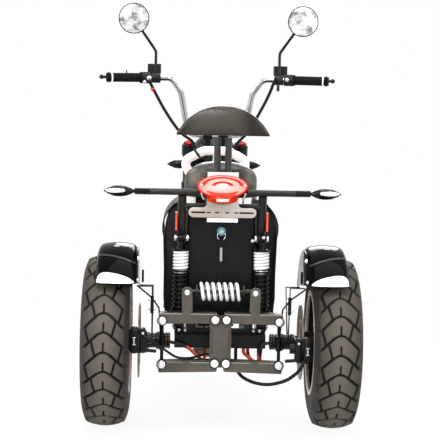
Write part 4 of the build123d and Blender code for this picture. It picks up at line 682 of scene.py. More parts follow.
def plate(outline: Sequence[Vector], depth: Vector, bevel: float) -> bpy.types.Object:
    """Cuts a plate to an outline, gives it its thickness and rounds its edges.

    Args:
        outline: The outline's corners.
        depth: Direction and thickness.
        bevel: Width of the rounded edges.

    Returns:
        The plate.
    """
    obj = chain(outline, closed=True)
    with editing(obj):
        bpy.ops.mesh.extrude_region_move(TRANSFORM_OT_translate={"value": depth})
        face_out()
        bpy.ops.mesh.bevel(offset=bevel, segments=2, affect="EDGES")
    return smooth(obj)


def block(centre: Sequence[float], size: Sequence[float], bevel: float,
          segments: int = 3) -> bpy.types.Object:
    """Cuts a block with rounded edges.

    Args:
        centre: Its middle.
        size: Its length along X, Y and Z.
        bevel: Width of the rounded edges.
        segments: Facets across them.

    Returns:
        The block.
    """
    focus()
    bpy.ops.mesh.primitive_cube_add(size=1, location=centre, scale=size)
    obj = settle(bpy.context.active_object)
    with editing(obj):
        bpy.ops.mesh.bevel(offset=bevel, segments=segments, affect="EDGES")
    return smooth(obj)


def tube(points: Sequence[Sequence[float]], radius: float, levels: int = 2,
         sides: int = 6) -> bpy.types.Object:
    """Draws a tube along a route that is rounded by subdivision.

    Args:
        points: The route's points.
        radius: The tube's radius.
        levels: How often the route is subdivided.
        sides: Fineness of the round section; half of it is the bevel's resolution.

    Returns:
        The tube as a closed mesh.
    """
    obj = chain(points)
    if levels:
        subdivide(obj, levels)
    focus(obj)
    bpy.ops.object.convert(target="CURVE")
    obj = bpy.context.active_object
    obj.data.bevel_depth = radius
    obj.data.bevel_resolution = sides // 2
    obj.data.use_fill_caps = True
    bpy.ops.object.convert(target="MESH")
    obj = bpy.context.active_object
    with editing(obj):
        merge()
        face_out()
    return smooth(obj, 50)


def coil(start: Vector, end: Vector, radius: float, wire: float, turns: float) -> bpy.types.Object:
    """Winds a coil spring between two points.

    Args:
        start: Middle of the first end.
        end: Middle of the last end.
        radius: Radius to the middle of the wire.
        wire: Radius of the wire.
        turns: How many turns it has.

    Returns:
        The spring.
    """
    run = Vector(end) - Vector(start)
    focus()
    bpy.ops.mesh.primitive_circle_add(vertices=10, radius=wire, fill_type="NGON",
                                      location=(radius, 0, 0), rotation=(math.pi / 2, 0, 0))
    obj = settle(bpy.context.active_object)
    winding = obj.modifiers.new("winding", "SCREW")
    winding.angle = TURN * turns
    winding.screw_offset = run.length
    winding.steps = winding.render_steps = int(20 * turns)
    winding.use_merge_vertices = False
    apply_modifiers(obj)
    turned = run.to_track_quat("Z", "X").to_matrix().to_4x4()
    obj.matrix_world = Matrix.Translation(Vector(start)) @ turned
    settle(obj)
    with editing(obj):
        face_out()
    return smooth(obj, 60)


def sheet(columns: int, rows: int, place: Callable[[float, float], Vector],
          wall: float) -> bpy.types.Object:
    """Presses a flat sheet to a curved face and gives it its wall.

    Args:
        columns: Facets across.
        rows: Facets along.
        place: Where the shares across and along, each 0 to 1, come to lie.
        wall: Thickness, half of it to each side.

    Returns:
        The pressed sheet.
    """
    focus()
    bpy.ops.mesh.primitive_grid_add(x_subdivisions=columns, y_subdivisions=rows, size=2)
    obj = bpy.context.active_object
    for vert in obj.data.vertices:
        vert.co = place((vert.co.x + 1) / 2, (vert.co.y + 1) / 2)
    thick = obj.modifiers.new("wall", "SOLIDIFY")
    thick.thickness = wall
    thick.offset = 0
    apply_modifiers(obj)
    with editing(obj):
        face_out()
    return smooth(obj)


def dome(spot: Sequence[float], radius: float, height: float,
         axis: Sequence[float] = (0, -1, 0)) -> bpy.types.Object:
    """Turns a domed bolt head that stands on a face.

    Args:
        spot: Middle of its foot.
        radius: Radius of the foot.
        height: Height of the dome.
        axis: The way it points.

    Returns:
        The head.
    """
    way = Vector(axis)
    aside = way.orthogonal().normalized()
    rim = [Vector(spot) + aside * radius * math.cos(turn) + way * height * math.sin(turn)
           for turn in (0, 0.3, 0.65, 1.05, math.pi / 2)]
    return lathe([Vector(spot), *rim], Vector(spot), way, 16)


def joined(pieces: Sequence[bpy.types.Object]) -> bpy.types.Object:
    """Joins pieces of one finish into one mesh.

    Args:
        pieces: The pieces; the first one stays.

    Returns:
        The joined piece.
    """
    focus(pieces[0])
    for piece in pieces:
        piece.select_set(True)
    bpy.ops.object.join()
    return bpy.context.active_object


def arc_through(first: Sequence[float], middle: Sequence[float], last: Sequence[float],
                count: int) -> list[Vector]:
    """Points along the arc through three points of a plane.

    Args:
        first: Where the arc starts.
        middle: A point that it passes.
        last: Where it ends.
        count: How many points it gets, both ends included.

    Returns:
        The points, evenly spaced.
    """
    a, b, c = (complex(point[0], point[1]) for point in (first, middle, last))
    ratio = (c - a) / (b - a)
    centre = (b - a) * (ratio - abs(ratio) ** 2) / (2j * ratio.imag) + a
    radius = abs(a - centre)
    start, via, stop = (math.atan2((spot - centre).imag, (spot - centre).real) for spot in (a, b, c))
    sweep = (stop - start) % TURN
    if (via - start) % TURN >= sweep:
        sweep -= TURN
    return [Vector((centre.real + radius * math.cos(start + sweep * index / (count - 1)),
                    centre.imag + radius * math.sin(start + sweep * index / (count - 1))))
            for index in range(count)]


@dataclass
class Workshop:
    """Puts finished pieces on their bodies and reports them."""

    frame: dict[str, Any]
    kept: int = 0

    def dress(self, obj: bpy.types.Object, finish: Finish) -> None:
        """Gives every slot of an object one finish.

        Args:
            obj: The object.
            finish: Its finish.
        """
        material = finish.material()
        if not obj.material_slots:
            obj.data.materials.append(material)
        for slot in obj.material_slots:
            slot.material = material

    def keep(self, obj: bpy.types.Object, name: str, body: str, finish: Finish,
             replaces: Sequence[str] = ()) -> bpy.types.Object:
        """Names, dresses and mounts one finished piece.

        Args:
            obj: The piece, in place.
            name: Its name.
            body: The body that it moves with.
            finish: Its finish.
            replaces: Nodes that it stands for.

        Returns:
            The piece.
        """
        obj.name = obj.data.name = name
        self.dress(obj, finish)
        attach(obj, body)
        if replaces:
            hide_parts(*replaces)
        self.kept += 1
        LOG.info("%s: %d faces on %s", name, len(obj.data.polygons), body)
        return obj

    def dress_frame(self) -> None:
        """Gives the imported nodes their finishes."""
        for node, finish in NODE_FINISHES.items():
            self.dress(self.frame["nodes"][node], finish)
            LOG.info("%s wears %s", node, finish.name)


@dataclass
class Tyre:
    """Low, wide tyre with a chevron tread cut into its crown."""

    node: str
    body: str
    pitches: int = 28
    rows: int = 728
    crown_columns: int = 66
    wall_columns: int = 9
    bead_share: tuple[float, float] = (0.93, 0.0)
    bulge_share: tuple[float, float] = (0.97, 0.50)
    shoulder_share: tuple[float, float] = (0.80, 0.87)
    bead_radius: float = 0.152
    groove_depth: float = 0.0062
    groove_width: float = 0.0066
    wall_width: float = 0.0020
    leg_slope: float = 1.06
    leg_half: float = 0.066
    leg_fade: float = 0.010
    apex_radius: float = 0.019
    link_starts: tuple[float, float] = (0.024, 0.043)
    link_slope: float = 0.21
    link_width: float = 0.0050
    slit_share: tuple[float, float] = (0.05, 0.50)
    slit_width: float = 0.0040
    mark_place: float = 0.0635
    mark_half: tuple[float, float] = (0.0032, 0.0024)
    mark_edge: float = 0.0012
    mark_height: float = 0.0008
    # Reach across, strength and falloff of the painted highlight on the crown's middle
    crown_light_half: float = 0.058
    crown_light_share: float = 1.15
    crown_light_power: float = 0.8

    def section(self, radius: float, width: float) -> tuple[list[Vector], list[float]]:
        """Outside of the tyre from bead to bead.

        Args:
            radius: The tyre's radius.
            width: Its width.

        Returns:
            Points as (across, out), and each point's distance along the tread from the middle.
        """
        def spot(share: tuple[float, float], side: int) -> Vector:
            """Point of the section by its shares of the half width and of the side wall."""
            return Vector((side * share[0] * width / 2,
                           self.bead_radius + share[1] * (radius - self.bead_radius)))

        crown = arc_through(spot(self.shoulder_share, -1), (0, radius), spot(self.shoulder_share, 1),
                            self.crown_columns + 1)
        wall = arc_through(spot(self.shoulder_share, 1), spot(self.bulge_share, 1),
                           spot(self.bead_share, 1), self.wall_columns + 1)[1:]
        other = [Vector((-point.x, point.y)) for point in reversed(wall)]
        points = [*other, *crown, *wall]
        steps = [0.0, *[(b - a).length for a, b in zip(points, points[1:])]]
        along = np.cumsum(steps)
        return points, list(along - along[-1] / 2)

    def depth(self, across: np.ndarray, along: np.ndarray, pitch: float) -> np.ndarray:
        """Depth of the tread's grooves as a share of the full depth.

        Args:
            across: Distance from the middle of the tread.
            along: Distance round the tyre.
            pitch: Distance from one chevron to the next.

        Returns:
            1 at the floor of a groove and 0 on the blocks.
        """
        out = np.abs(across)
        fall = self.leg_slope * (np.sqrt(out ** 2 + self.apex_radius ** 2) - self.apex_radius)
        phase = (along + fall) / pitch
        tilt = 1 / math.hypot(1, self.leg_slope)
        leg = np.abs(phase - np.floor(phase + 0.5)) * pitch * np.where(out > self.apex_radius, tilt, 1.0)
        result = self.trough(leg, self.groove_width) * np.clip((self.leg_half - out) / self.leg_fade, 0, 1)
        block_row = np.floor(phase)
        up = (phase - block_row) * pitch
        odd = np.mod(block_row, 2)
        for side, near_row in ((-1, 0), (1, 1)):
            for start, chosen in zip(self.link_starts, (near_row, 1 - near_row)):
                line = start + self.link_slope * up
                gap = np.where((across * side > 0) & (odd == chosen), np.abs(out - line), 1.0)
                result = np.maximum(result, self.trough(gap, self.link_width))
        low, high = self.slit_share
        slit = np.where((up > pitch * low) & (up < pitch * high), out, 1.0)
        return np.maximum(result, self.trough(slit, self.slit_width))

    def trough(self, distance: np.ndarray, width: float) -> np.ndarray:
        """Cross-section of one groove: a flat floor and short sloping walls."""
        return np.clip((width / 2 + self.wall_width / 2 - distance) / self.wall_width, 0, 1)

    def build(self, shop: Workshop) -> None:
        """Rolls a flat tread sheet up to the tyre, with its grooves cut.

        Args:
            shop: Where the finished tyre goes.
        """
        low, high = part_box(self.node)
        centre = (low + high) / 2
        radius = (high.z - low.z) / 2
        points, along = self.section(radius, high.x - low.x)
        columns = len(points)
        focus()
        bpy.ops.mesh.primitive_grid_add(x_subdivisions=columns, y_subdivisions=self.rows, size=2)
        obj = bpy.context.active_object
        flat = np.zeros(len(obj.data.vertices) * 3)
        obj.data.vertices.foreach_get("co", flat)
        flat = flat.reshape(-1, 3)
        column = np.rint((flat[:, 0] + 1) / 2 * columns).astype(int)
        column = np.minimum(column, columns - 1)
        row = np.rint((flat[:, 1] + 1) / 2 * self.rows).astype(int)
        across = np.array(along)[column]
        angle = row / self.rows * TURN
        pitch = TURN * radius / self.pitches
        sunk = self.depth(across, angle * radius, pitch)
        mark = self.marks(across, angle * radius, pitch)
        # Painted highlight: share of the lighter crown colour, full in the middle and gone toward the
        # shoulders
        crown_light = np.clip(self.crown_light_share - np.abs(across) / self.crown_light_half, 0, 1) ** self.crown_light_power
        section = np.array([(point.x, point.y) for point in points])
        slope = np.gradient(section, axis=0)
        outward = np.stack([-slope[:, 1], slope[:, 0]], axis=1)
        outward /= np.linalg.norm(outward, axis=1)[:, None]
        lift = mark * self.mark_height - sunk * self.groove_depth
        placed = section[column] + outward[column] * lift[:, None]
        spots = np.stack([centre.x + placed[:, 0],
                          centre.y - placed[:, 1] * np.cos(angle),
                          centre.z + placed[:, 1] * np.sin(angle)], axis=1)
        obj.data.vertices.foreach_set("co", spots.ravel())
        # The grooves' depth also paints shade into them, and the crown's share paints a highlight
        for name, values in (("groove", sunk), ("mark", mark), ("crown_light", crown_light)):
            layer = obj.data.attributes.new(name, "FLOAT", "POINT")
            layer.data.foreach_set("value", values)
        self.close(obj)
        shop.keep(smooth(obj, 60), f"{self.node}_tread", self.body, TYRE_RUBBER,
                  [self.node])

    def marks(self, across: np.ndarray, along: np.ndarray, pitch: float) -> np.ndarray:
        """Small pale moulding marks beside the tread, one to each pitch and side.

        Args:
            across: Distance from the middle of the tread.
            along: Distance round the tyre.
            pitch: Distance from one chevron to the next.

        Returns:
            1 on a mark and 0 beside it.
        """
        phase = np.abs(np.mod(along / pitch, 1) - 0.5) * pitch
        aside = np.abs(np.abs(across) - self.mark_place)
        length, width = self.mark_half
        return (np.clip((length - phase) / self.mark_edge, 0, 1)
                * np.clip((width - aside) / self.mark_edge, 0, 1))

    def close(self, obj: bpy.types.Object) -> None:
        """Joins the sheet's two ends and closes the ring between the beads."""
        with editing(obj):
            merge(MM / 20)
            bpy.ops.mesh.select_all(action="DESELECT")
            bpy.ops.mesh.select_mode(type="EDGE")
            bpy.ops.mesh.select_non_manifold()
            bpy.ops.mesh.bridge_edge_loops()
            face_out()


@dataclass
class Cushion:
    """Stuffed pad: a shaped form that is swelled by a cloth simulation."""

    voxel: float = 0.0045
    pressure: float = 4.0
    cap: float = 0.006
    frames: int = 20
    rounding: int = 14
    block_edge: float = 0.002
    fill: float = 0.85

    def foam(self, obj: bpy.types.Object) -> None:
        """Turns a cut block into an even mesh with soft edges.

        Args:
            obj: The block.
        """
        remesh = obj.modifiers.new("remesh", "REMESH")
        remesh.mode = "VOXEL"
        remesh.voxel_size = self.voxel
        soften = obj.modifiers.new("soften", "SMOOTH")
        soften.factor = 0.5
        soften.iterations = self.rounding
        apply_modifiers(obj)

    def swell(self, obj: bpy.types.Object) -> bpy.types.Object:
        """Swells a closed form as filling swells its cover.

        Args:
            obj: The form, a little smaller than the pad.

        Returns:
            The same object, swelled and smoothed.
        """
        before = np.zeros(len(obj.data.vertices) * 3)
        obj.data.vertices.foreach_get("co", before)
        cloth = obj.modifiers.new("cloth", "CLOTH")
        cloth.settings.use_pressure = True
        cloth.settings.uniform_pressure_force = self.pressure
        cloth.settings.effector_weights.gravity = 0.0
        scene = bpy.context.scene
        for frame in range(1, self.frames + 1):
            scene.frame_set(frame)
        apply_modifiers(obj)
        scene.frame_set(1)
        self.hold(obj, before.reshape(-1, 3))
        subdivide(obj, 1)
        return smooth(obj, 60)

    def hold(self, obj: bpy.types.Object, before: np.ndarray) -> None:
        """Caps how far each point of a swelled pad may have moved.

        Args:
            obj: The swelled pad.
            before: Its points before it was swelled.
        """
        after = np.zeros(before.size)
        obj.data.vertices.foreach_get("co", after)
        moved = after.reshape(-1, 3) - before
        length = np.linalg.norm(moved, axis=1)
        share = np.minimum(1.0, self.cap / np.maximum(length, 1e-9))
        obj.data.vertices.foreach_set("co", (before + moved * share[:, None]).ravel())


@dataclass
class Backrest(Cushion):
    """Half-moon back pad, crowned on its rear face."""

    inset: float = 0.002
    steps: int = 40
    crown: float = 0.019
    crown_share: float = 0.35
    crown_fall: float = 1.6

    def build(self, shop: Workshop) -> None:
        """Cuts the half-moon, crowns it and swells it.

        Args:
            shop: Where the finished pad goes.
        """
        low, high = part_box("backrest_cushion")
        half = (high.x - low.x) / 2 - self.inset
        foot = low.z + self.inset
        top = high.z - self.inset
        rim = arc_through((-half, foot), (0, top), (half, foot), self.steps)
        depth = (high.y - low.y) - 2 * (self.inset + self.crown)
        outline = [Vector((point.x, low.y + self.inset + self.crown, point.y)) for point in rim]
        obj = plate(outline, ALONG * depth, self.block_edge)
        self.foam(obj)
        self.crown_faces(obj, (low.y + high.y) / 2, half, foot, top)
        pad = self.swell(obj)
        shop.keep(pad, "backrest_pad", "frame", VINYL_PAINTED_HIGHLIGHTS, ["backrest_cushion"])

    def crown_faces(self, obj: bpy.types.Object, middle: float, half: float, foot: float,
                    top: float) -> None:
        """Pushes the flat faces out most in the middle.

        Args:
            obj: The pad.
            middle: Y of its middle.
            half: Half its width.
            foot: Its lowest Z.
            top: Its highest Z.
        """
        for vert in obj.data.vertices:
            aside = vert.co.x / half
            up = (vert.co.z - foot) / (top - foot) - self.crown_share
            share = max(0.0, 1 - aside ** 2) * max(0.0, 1 - up ** 2 * self.crown_fall)
            vert.co.y += math.copysign(self.crown * share, vert.co.y - middle)


@dataclass
class Saddle(Cushion):
    """Solo saddle: wide and raised at the back, dished in the middle, narrow at the nose."""

    inset: float = 0.001
    dish: float = 0.012
    dish_share: float = 0.52
    dish_spread_share: float = 0.22
    dish_side_share: float = 0.5
    nose_share: float = 0.62
    nose_fall: float = 0.06
    waist_width_share: float = 1.03
    lift: float = 0.010
    side_roll: float = 0.052
    tail_roll: float = 0.034
    tail_share: float = 0.16
    round_power: float = 2.6
    shoulder_share: float = 0.22
    waist_share: float = 0.55
    seat_gap: float = 0.0004

    def build(self, shop: Workshop) -> None:
        """Draws the saddle from above, lifts it, dishes it and swells it.

        Args:
            shop: Where the finished saddle goes.
        """
        low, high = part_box("saddle_cushion")
        length = high.y - low.y
        half = (high.x - low.x) / 2 - self.inset
        nose = half * self.nose_share
        back = low.y + self.inset
        front = high.y - self.inset
        shoulder = back + length * self.shoulder_share
        waist = back + length * self.waist_share
        rear = arc_through((half, shoulder), (0, back), (-half, shoulder), 20)
        fore = arc_through((-nose, front - nose / 2), (0, front), (nose, front - nose / 2), 14)
        narrow = nose * self.waist_width_share
        edge = [*rear, Vector((-narrow, waist)), *fore, Vector((narrow, waist))]
        outline = [Vector((point.x, point.y, low.z + MM)) for point in edge]
        obj = plate(outline, UP * (high.z - low.z + self.lift), self.block_edge)
        self.foam(obj)
        self.shape(obj, low, high)
        pad = self.swell(obj)
        for vert in pad.data.vertices:
            vert.co.z = max(vert.co.z, low.z + self.seat_gap)
        shop.keep(pad, "saddle_pad", "saddle", VINYL_PAINTED_HIGHLIGHTS, ["saddle_cushion"])

    def shape(self, obj: bpy.types.Object, low: Vector, high: Vector) -> None:
        """Dishes the top between the raised back and the nose.

        Args:
            obj: The pad.
            low: Lowest corner of the node that it stands for.
            high: Highest corner of that node.
        """
        for vert in obj.data.vertices:
            along = (vert.co.y - low.y) / (high.y - low.y)
            up = (vert.co.z - low.z) / (high.z - low.z)
            aside = vert.co.x / ((high.x - low.x) / 2)
            dip = math.exp(-((along - self.dish_share) / self.dish_spread_share) ** 2) * self.dish
            fall = max(0.0, along - self.nose_share) * self.nose_fall
            side = 1 - math.sqrt(max(0.0, 1 - min(abs(aside), 1.0) ** self.round_power))
            tail = max(0.0, 1 - along / self.tail_share)
            end = 1 - math.sqrt(max(0.0, 1 - tail ** 2))
            roll = self.side_roll * side + self.tail_roll * end
            vert.co.z -= up * (dip * (1 - self.dish_side_share * aside ** 2) + fall + roll)


@dataclass
class RearGuard:
    """Arched rear mudguard with a flat inner side, a rib whose grey is a painted highlight on its crease,
    and a pale tail panel that is a painted reflection of the white floor.
    """

    side: int
    half: float = 0.0555
    middle: float = 0.3015
    edge: float = 0.266
    crown: float = 0.022
    roll: float = 0.013
    roll_power: int = 14
    wall: float = 0.0035
    start: float = 32.0
    foot: float = 0.188
    tail_z: tuple[float, float, float] = (0.214, 0.213, 0.194)
    tail_half: tuple[float, float] = (0.94, 0.945)
    tail_power: int = 7
    tail_wall: float = 0.0014
    tail_lift: float = 0.0006
    rib_rise: float = 0.041
    rib_width: float = 0.004
    rib_wall: float = 0.003
    rib_lift: float = 0.0004
    side_rim_share: float = 0.3
    side_steps: int = 24
    pad_spot: tuple[float, float, float] = (0.226, -0.778, 0.454)
    pad_size: tuple[float, float, float] = (0.006, 0.010, 0.036)
    pad_edge: float = 0.002
    plate_edge: float = 0.0008
    # Bolts of the inner side as (foot, radius, height), and the crown's short bright bar, a painted glint
    # of a lamp on the glossy crest
    bolts: tuple[tuple[Any, ...], ...] = (
        ((0.2425, -0.752, 0.500), 0.006, 0.008), ((0.2425, -0.800, 0.444), 0.005, 0.006))
    bar: tuple[Any, ...] = ((0.304, -0.7035, 0.5315), (0.015, 0.0028, 0.0022), 0.0005)

    def out(self, across: float) -> float:
        """Radius of the outer face at a place across, -1 outboard to 1 inboard."""
        rolled = self.roll * (1 - abs(across) ** self.roll_power)
        return self.edge + rolled + (self.crown - self.roll) * (1 - across ** 2)

    def spot(self, across: float, angle: float, lift: float = 0.0) -> Vector:
        """Place on the outer face by its share across and its angle round the axle."""
        radius = self.out(across) + lift
        return Vector((self.side * (self.middle - across * self.half),
                       REAR_AXLE[0] + radius * math.cos(angle),
                       REAR_AXLE[1] + radius * math.sin(angle)))

    def eased(self, share: float) -> float:
        """Share across that lies denser at the rolled rims."""
        return math.sin((share - 0.5) * math.pi)

    def behind(self, across: float, height: float) -> float:
        """Angle at which the rear of the outer face reaches a height over the axle."""
        return math.pi - math.asin(height / self.out(across))

    def line(self, across: float) -> float:
        """Height of the tail panel's arched upper edge over the axle."""
        outer, middle, inner = self.tail_z
        return middle + (inner - outer) / 2 * across + ((inner + outer) / 2 - middle) * across ** 2

    def skin_spot(self, u: float, v: float) -> Vector:
        """Place in the middle of the skin's wall, from the front edge to the tail."""
        low = math.radians(self.start)
        across = self.eased(u)
        return self.spot(across, low + v * (self.behind(across, self.foot) - low), -self.wall / 2)

    def rib_spot(self, u: float, v: float) -> Vector:
        """Place on the rib that runs across above the tail panel."""
        across = 2 * u - 1
        height = self.line(across) + self.rib_rise + v * self.rib_width
        return self.spot(across, self.behind(across, height), self.rib_lift)

    def panel_spot(self, u: float, v: float) -> Vector:
        """Place on the tail panel, whose ends are rounded."""
        share, end = self.tail_half
        across = share * self.eased(u)
        rounding = math.sqrt(max(0.0, 1 - abs(across / end) ** self.tail_power))
        height = self.foot + MM + v * (self.line(across) - self.foot) * rounding
        return self.spot(across, self.behind(across, height), self.tail_lift)

    def build(self, shop: Workshop) -> list[bpy.types.Object]:
        """Presses the guard, its rib and its tail panel.

        Args:
            shop: Where the finished pieces go.

        Returns:
            The black pieces, for joining with the other guard's.
        """
        skin = sheet(40, 60, self.skin_spot, self.wall)
        rib = sheet(28, 3, self.rib_spot, self.rib_wall)
        panel = sheet(32, 6, self.panel_spot, self.tail_wall)
        name = "left" if self.side < 0 else "right"
        # Painted reflection: the pale tail panel stands for the white floor seen in the guard's black lip
        shop.keep(panel, f"guard_painted_reflection_{name}", "frame", PALE_LENS_AND_PAINTED_REFLECTION)
        # Painted highlight: the rib's grey against the gloss black stands for light on the guard's crease
        shop.keep(rib, f"guard_rib_painted_highlight_{name}", "frame", GREY_POWDER)
        x, y, z = self.pad_spot
        return [skin, self.side_plate(), block((self.side * x, y, z), self.pad_size, self.pad_edge)]

    def bright(self) -> list[bpy.types.Object]:
        """Bolt heads and the crown's bar, a painted glint, for joining."""
        heads = [dome((self.side * x, y, z), radius, height, (-self.side, 0, 0))
                 for (x, y, z), radius, height in self.bolts]
        # Painted highlight: a bright block where a lamp shines off the glossy crest
        (x, y, z), size, edge = self.bar
        return [*heads, block((self.side * x, y, z), size, edge)]

    def side_plate(self) -> bpy.types.Object:
        """Cuts the flat plate under the crown on the inner side, with a straight lower edge.

        Returns:
            The plate.
        """
        rim = self.edge + self.crown * self.side_rim_share
        low = math.radians(self.start)
        turn = math.pi - math.asin(self.foot / rim) - low
        face = self.side * (self.middle - self.half)
        angles = [low + turn * index / self.side_steps for index in range(self.side_steps + 1)]
        outline = [Vector((face, REAR_AXLE[0] + rim * math.cos(angle),
                           REAR_AXLE[1] + rim * math.sin(angle))) for angle in angles]
        return plate(outline, ACROSS * -self.side * self.wall, self.plate_edge)


def build_guards(shop: Workshop) -> None:
    """Builds both rear guards as one black piece, with their bolts.

    Args:
        shop: Where the finished pieces go.
    """
    guards = [RearGuard(side) for side in SIDES]
    black = [piece for guard in guards for piece in guard.build(shop)]
    shop.keep(joined(black), "rear_guard_skins", "frame", GLOSS_BLACK, ["rear_guards"])
    bright = [piece for guard in guards for piece in guard.bright()]
    shop.keep(joined(bright), "rear_guard_bolts_and_painted_glint", "frame", ZINC)


@dataclass
class Carrier:
    """Upright, axle tube and stub axle of one rear wheel, with the guard's thin stays."""

    side: int
    upright: tuple[float, float] = (0.170, -0.694)
    upright_radius: float = 0.005
    eyes_z: tuple[float, float] = (0.191, 0.318)
    eyes_y: tuple[float, float] = (-0.7095, -0.6785)
    eye_radius: float = 0.0100
    boss_y: float = -0.667
    boss_size: tuple[float, float, float] = (0.016, 0.050, 0.042)
    boss_edge: float = 0.003
    # Axle tube and stub axle as (place across, radius)
    profile: tuple[tuple[float, float], ...] = (
        (0.146, 0.016), (0.146, 0.022), (0.176, 0.022), (0.178, 0.026), (0.186, 0.026),
        (0.188, 0.022), (0.206, 0.022), (0.208, 0.025), (0.216, 0.025), (0.218, 0.021),
        (0.230, 0.021), (0.230, 0.009), (0.346, 0.009), (0.346, 0.0))
    stay_x: float = 0.200
    stay_end_x: float = 0.2424
    stay_radius: float = 0.0022
    # Rear and front stay as (foot's place from the axle, top's place, top's height)
    stays: tuple[tuple[float, float, float], ...] = ((-0.021, -0.060, 0.416), (0.021, 0.105, 0.401))
    stay_foot_z: float = 0.258
    lug_place: tuple[float, float] = (-0.690, 0.362)
    lug_size: tuple[float, float, float] = (0.010, 0.004, 0.052)
    lug_edge: float = 0.001
    brace: tuple[tuple[float, float, float], ...] = (
        (0.2405, -0.812, 0.430), (0.199, -0.750, 0.388), (0.180, -0.690, 0.352), (0.174, -0.665, 0.262))
    brace_radius: float = 0.0024
    seals_x: tuple[float, ...] = (0.149, 0.156, 0.164)
    seal_radii: tuple[float, float] = (0.0222, 0.0245)
    seal_width: float = 0.003
    bolts_x: tuple[float, float] = (0.193, 0.207)
    bolts_z: tuple[float, float] = (0.348, 0.376)
    bolt_y: float = -0.6925
    bolt_head: tuple[float, float] = (0.0034, 0.004)

    def at(self, x: float, y: float, z: float) -> Vector:
        """Place on this machine's side."""
        return Vector((self.side * x, y, z))

    def build(self) -> list[bpy.types.Object]:
        """Builds the carrier's black pieces.

        Returns:
            The pieces, for joining.
        """
        x, y = self.upright
        pieces = [tube([self.at(x, y, z) for z in self.eyes_z], self.upright_radius, 0)]
        for z in self.eyes_z:
            pieces.append(tube([self.at(x, end, z) for end in self.eyes_y], self.eye_radius, 0, 8))
        pieces.append(block(self.at(x, self.boss_y, REAR_AXLE[1]), self.boss_size, self.boss_edge))
        pieces.append(self.turned(self.profile))
        for foot, top, height in self.stays:
            top_y = REAR_AXLE[0] + top
            pieces.append(tube([self.at(self.stay_x, REAR_AXLE[0] + foot, self.stay_foot_z),
                                self.at(self.stay_x, top_y, height),
                                self.at(self.stay_end_x, top_y, height)], self.stay_radius, 0))
        pieces.append(block(self.at(self.stay_x, *self.lug_place), self.lug_size, self.lug_edge))
        pieces.append(tube([self.at(*spot) for spot in self.brace], self.brace_radius, 0))
        return pieces

    def turned(self, profile: Sequence[tuple[float, float]]) -> bpy.types.Object:
        """Turns a profile of (place across, radius) about the axle."""
        points = [self.at(x, REAR_AXLE[0], REAR_AXLE[1] + radius) for x, radius in profile]
        return lathe(points, self.at(0, *REAR_AXLE), ACROSS, 32)

    def rings(self) -> list[bpy.types.Object]:
        """Copper seals at the tube's inner end."""
        low, high = self.seal_radii
        return [self.turned(((x, low), (x, high), (x + self.seal_width, high), (x + self.seal_width, low)))
                for x in self.seals_x]

    def bolts(self) -> list[bpy.types.Object]:
        """Bright heads on the stay's plate and beside it."""
        return [dome(self.at(x, self.bolt_y, z), *self.bolt_head) for x in self.bolts_x
                for z in self.bolts_z]


def build_carriers(shop: Workshop) -> None:
    """Builds both axle carriers, their seals and their bolts.

    Args:
        shop: Where the finished pieces go.
    """
    carriers = [Carrier(side) for side in SIDES]
    shop.keep(joined([piece for each in carriers for piece in each.build()]), "axle_carrier_set",
              "frame", BLACK_ENAMEL, ["axle_carriers"])
    shop.keep(joined([ring for each in carriers for ring in each.rings()]), "axle_seals", "frame",
              COPPER)
    shop.keep(joined([bolt for each in carriers for bolt in each.bolts()]), "stay_bolts", "frame",
              ZINC)


@dataclass
class Caliper:
    """Cast caliper behind a rear disc, with its bracket, slots and pins."""

    side: int
    z: float
    x: float = 0.237
    y: float = -0.740
    # Castings and slot pins as (middle from the caliper's, size, edge)
    castings: tuple[tuple[Any, ...], ...] = (
        ((0.012, 0, 0), (0.024, 0.052, 0.074), 0.009, 4),
        ((-0.013, 0, -0.002), (0.022, 0.046, 0.062), 0.008, 4),
        ((0, -0.004, 0.030), (0.040, 0.026, 0.012), 0.004),
        ((0, -0.004, -0.030), (0.040, 0.026, 0.012), 0.004))
    pins: tuple[tuple[Any, ...], ...] = (
        ((0.012, -0.0262, 0.010), (0.010, 0.002, 0.0022), 0.0004),
        ((0.012, -0.0262, -0.010), (0.010, 0.002, 0.0022), 0.0004),
        ((0.012, -0.0262, 0), (0.003, 0.002, 0.020), 0.0004))
    piston: tuple[tuple[float, float, float], ...] = ((-0.022, 0, 0.004), (-0.038, 0, 0.004))
    piston_radius: float = 0.014
    slide: tuple[tuple[float, float, float], ...] = ((-0.004, -0.012, -0.026), (-0.052, -0.012, -0.030))
    slide_radius: float = 0.005
    bracket: tuple[float, float, float] = (0.216, -0.702, 0.250)
    bracket_size: tuple[float, float, float] = (0.005, 0.078, 0.044)
    bracket_edge: float = 0.001
    bleeder: tuple[float, float, float] = (-0.013, -0.022, 0.022)
    bleeder_head: tuple[float, float] = (0.004, 0.004)

    def at(self, x: float, y: float, z: float) -> Vector:
        """Place counted from the caliper's middle."""
        return Vector((self.side * (self.x + x), self.y + y, self.z + z))

    def build(self) -> list[bpy.types.Object]:
        """Builds the castings, for joining."""
        x, y, z = self.bracket
        return [*[block(self.at(*spot), *rest) for spot, *rest in self.castings],
                tube([self.at(*spot) for spot in self.piston], self.piston_radius, 0, 10),
                tube([self.at(*spot) for spot in self.slide], self.slide_radius, 0),
                block((self.side * x, y, z), self.bracket_size, self.bracket_edge)]

    def slots(self) -> list[bpy.types.Object]:
        """Bright pins in the slots of the rear face, for joining."""
        return [*[block(self.at(*spot), *rest) for spot, *rest in self.pins],
                dome(self.at(*self.bleeder), *self.bleeder_head)]


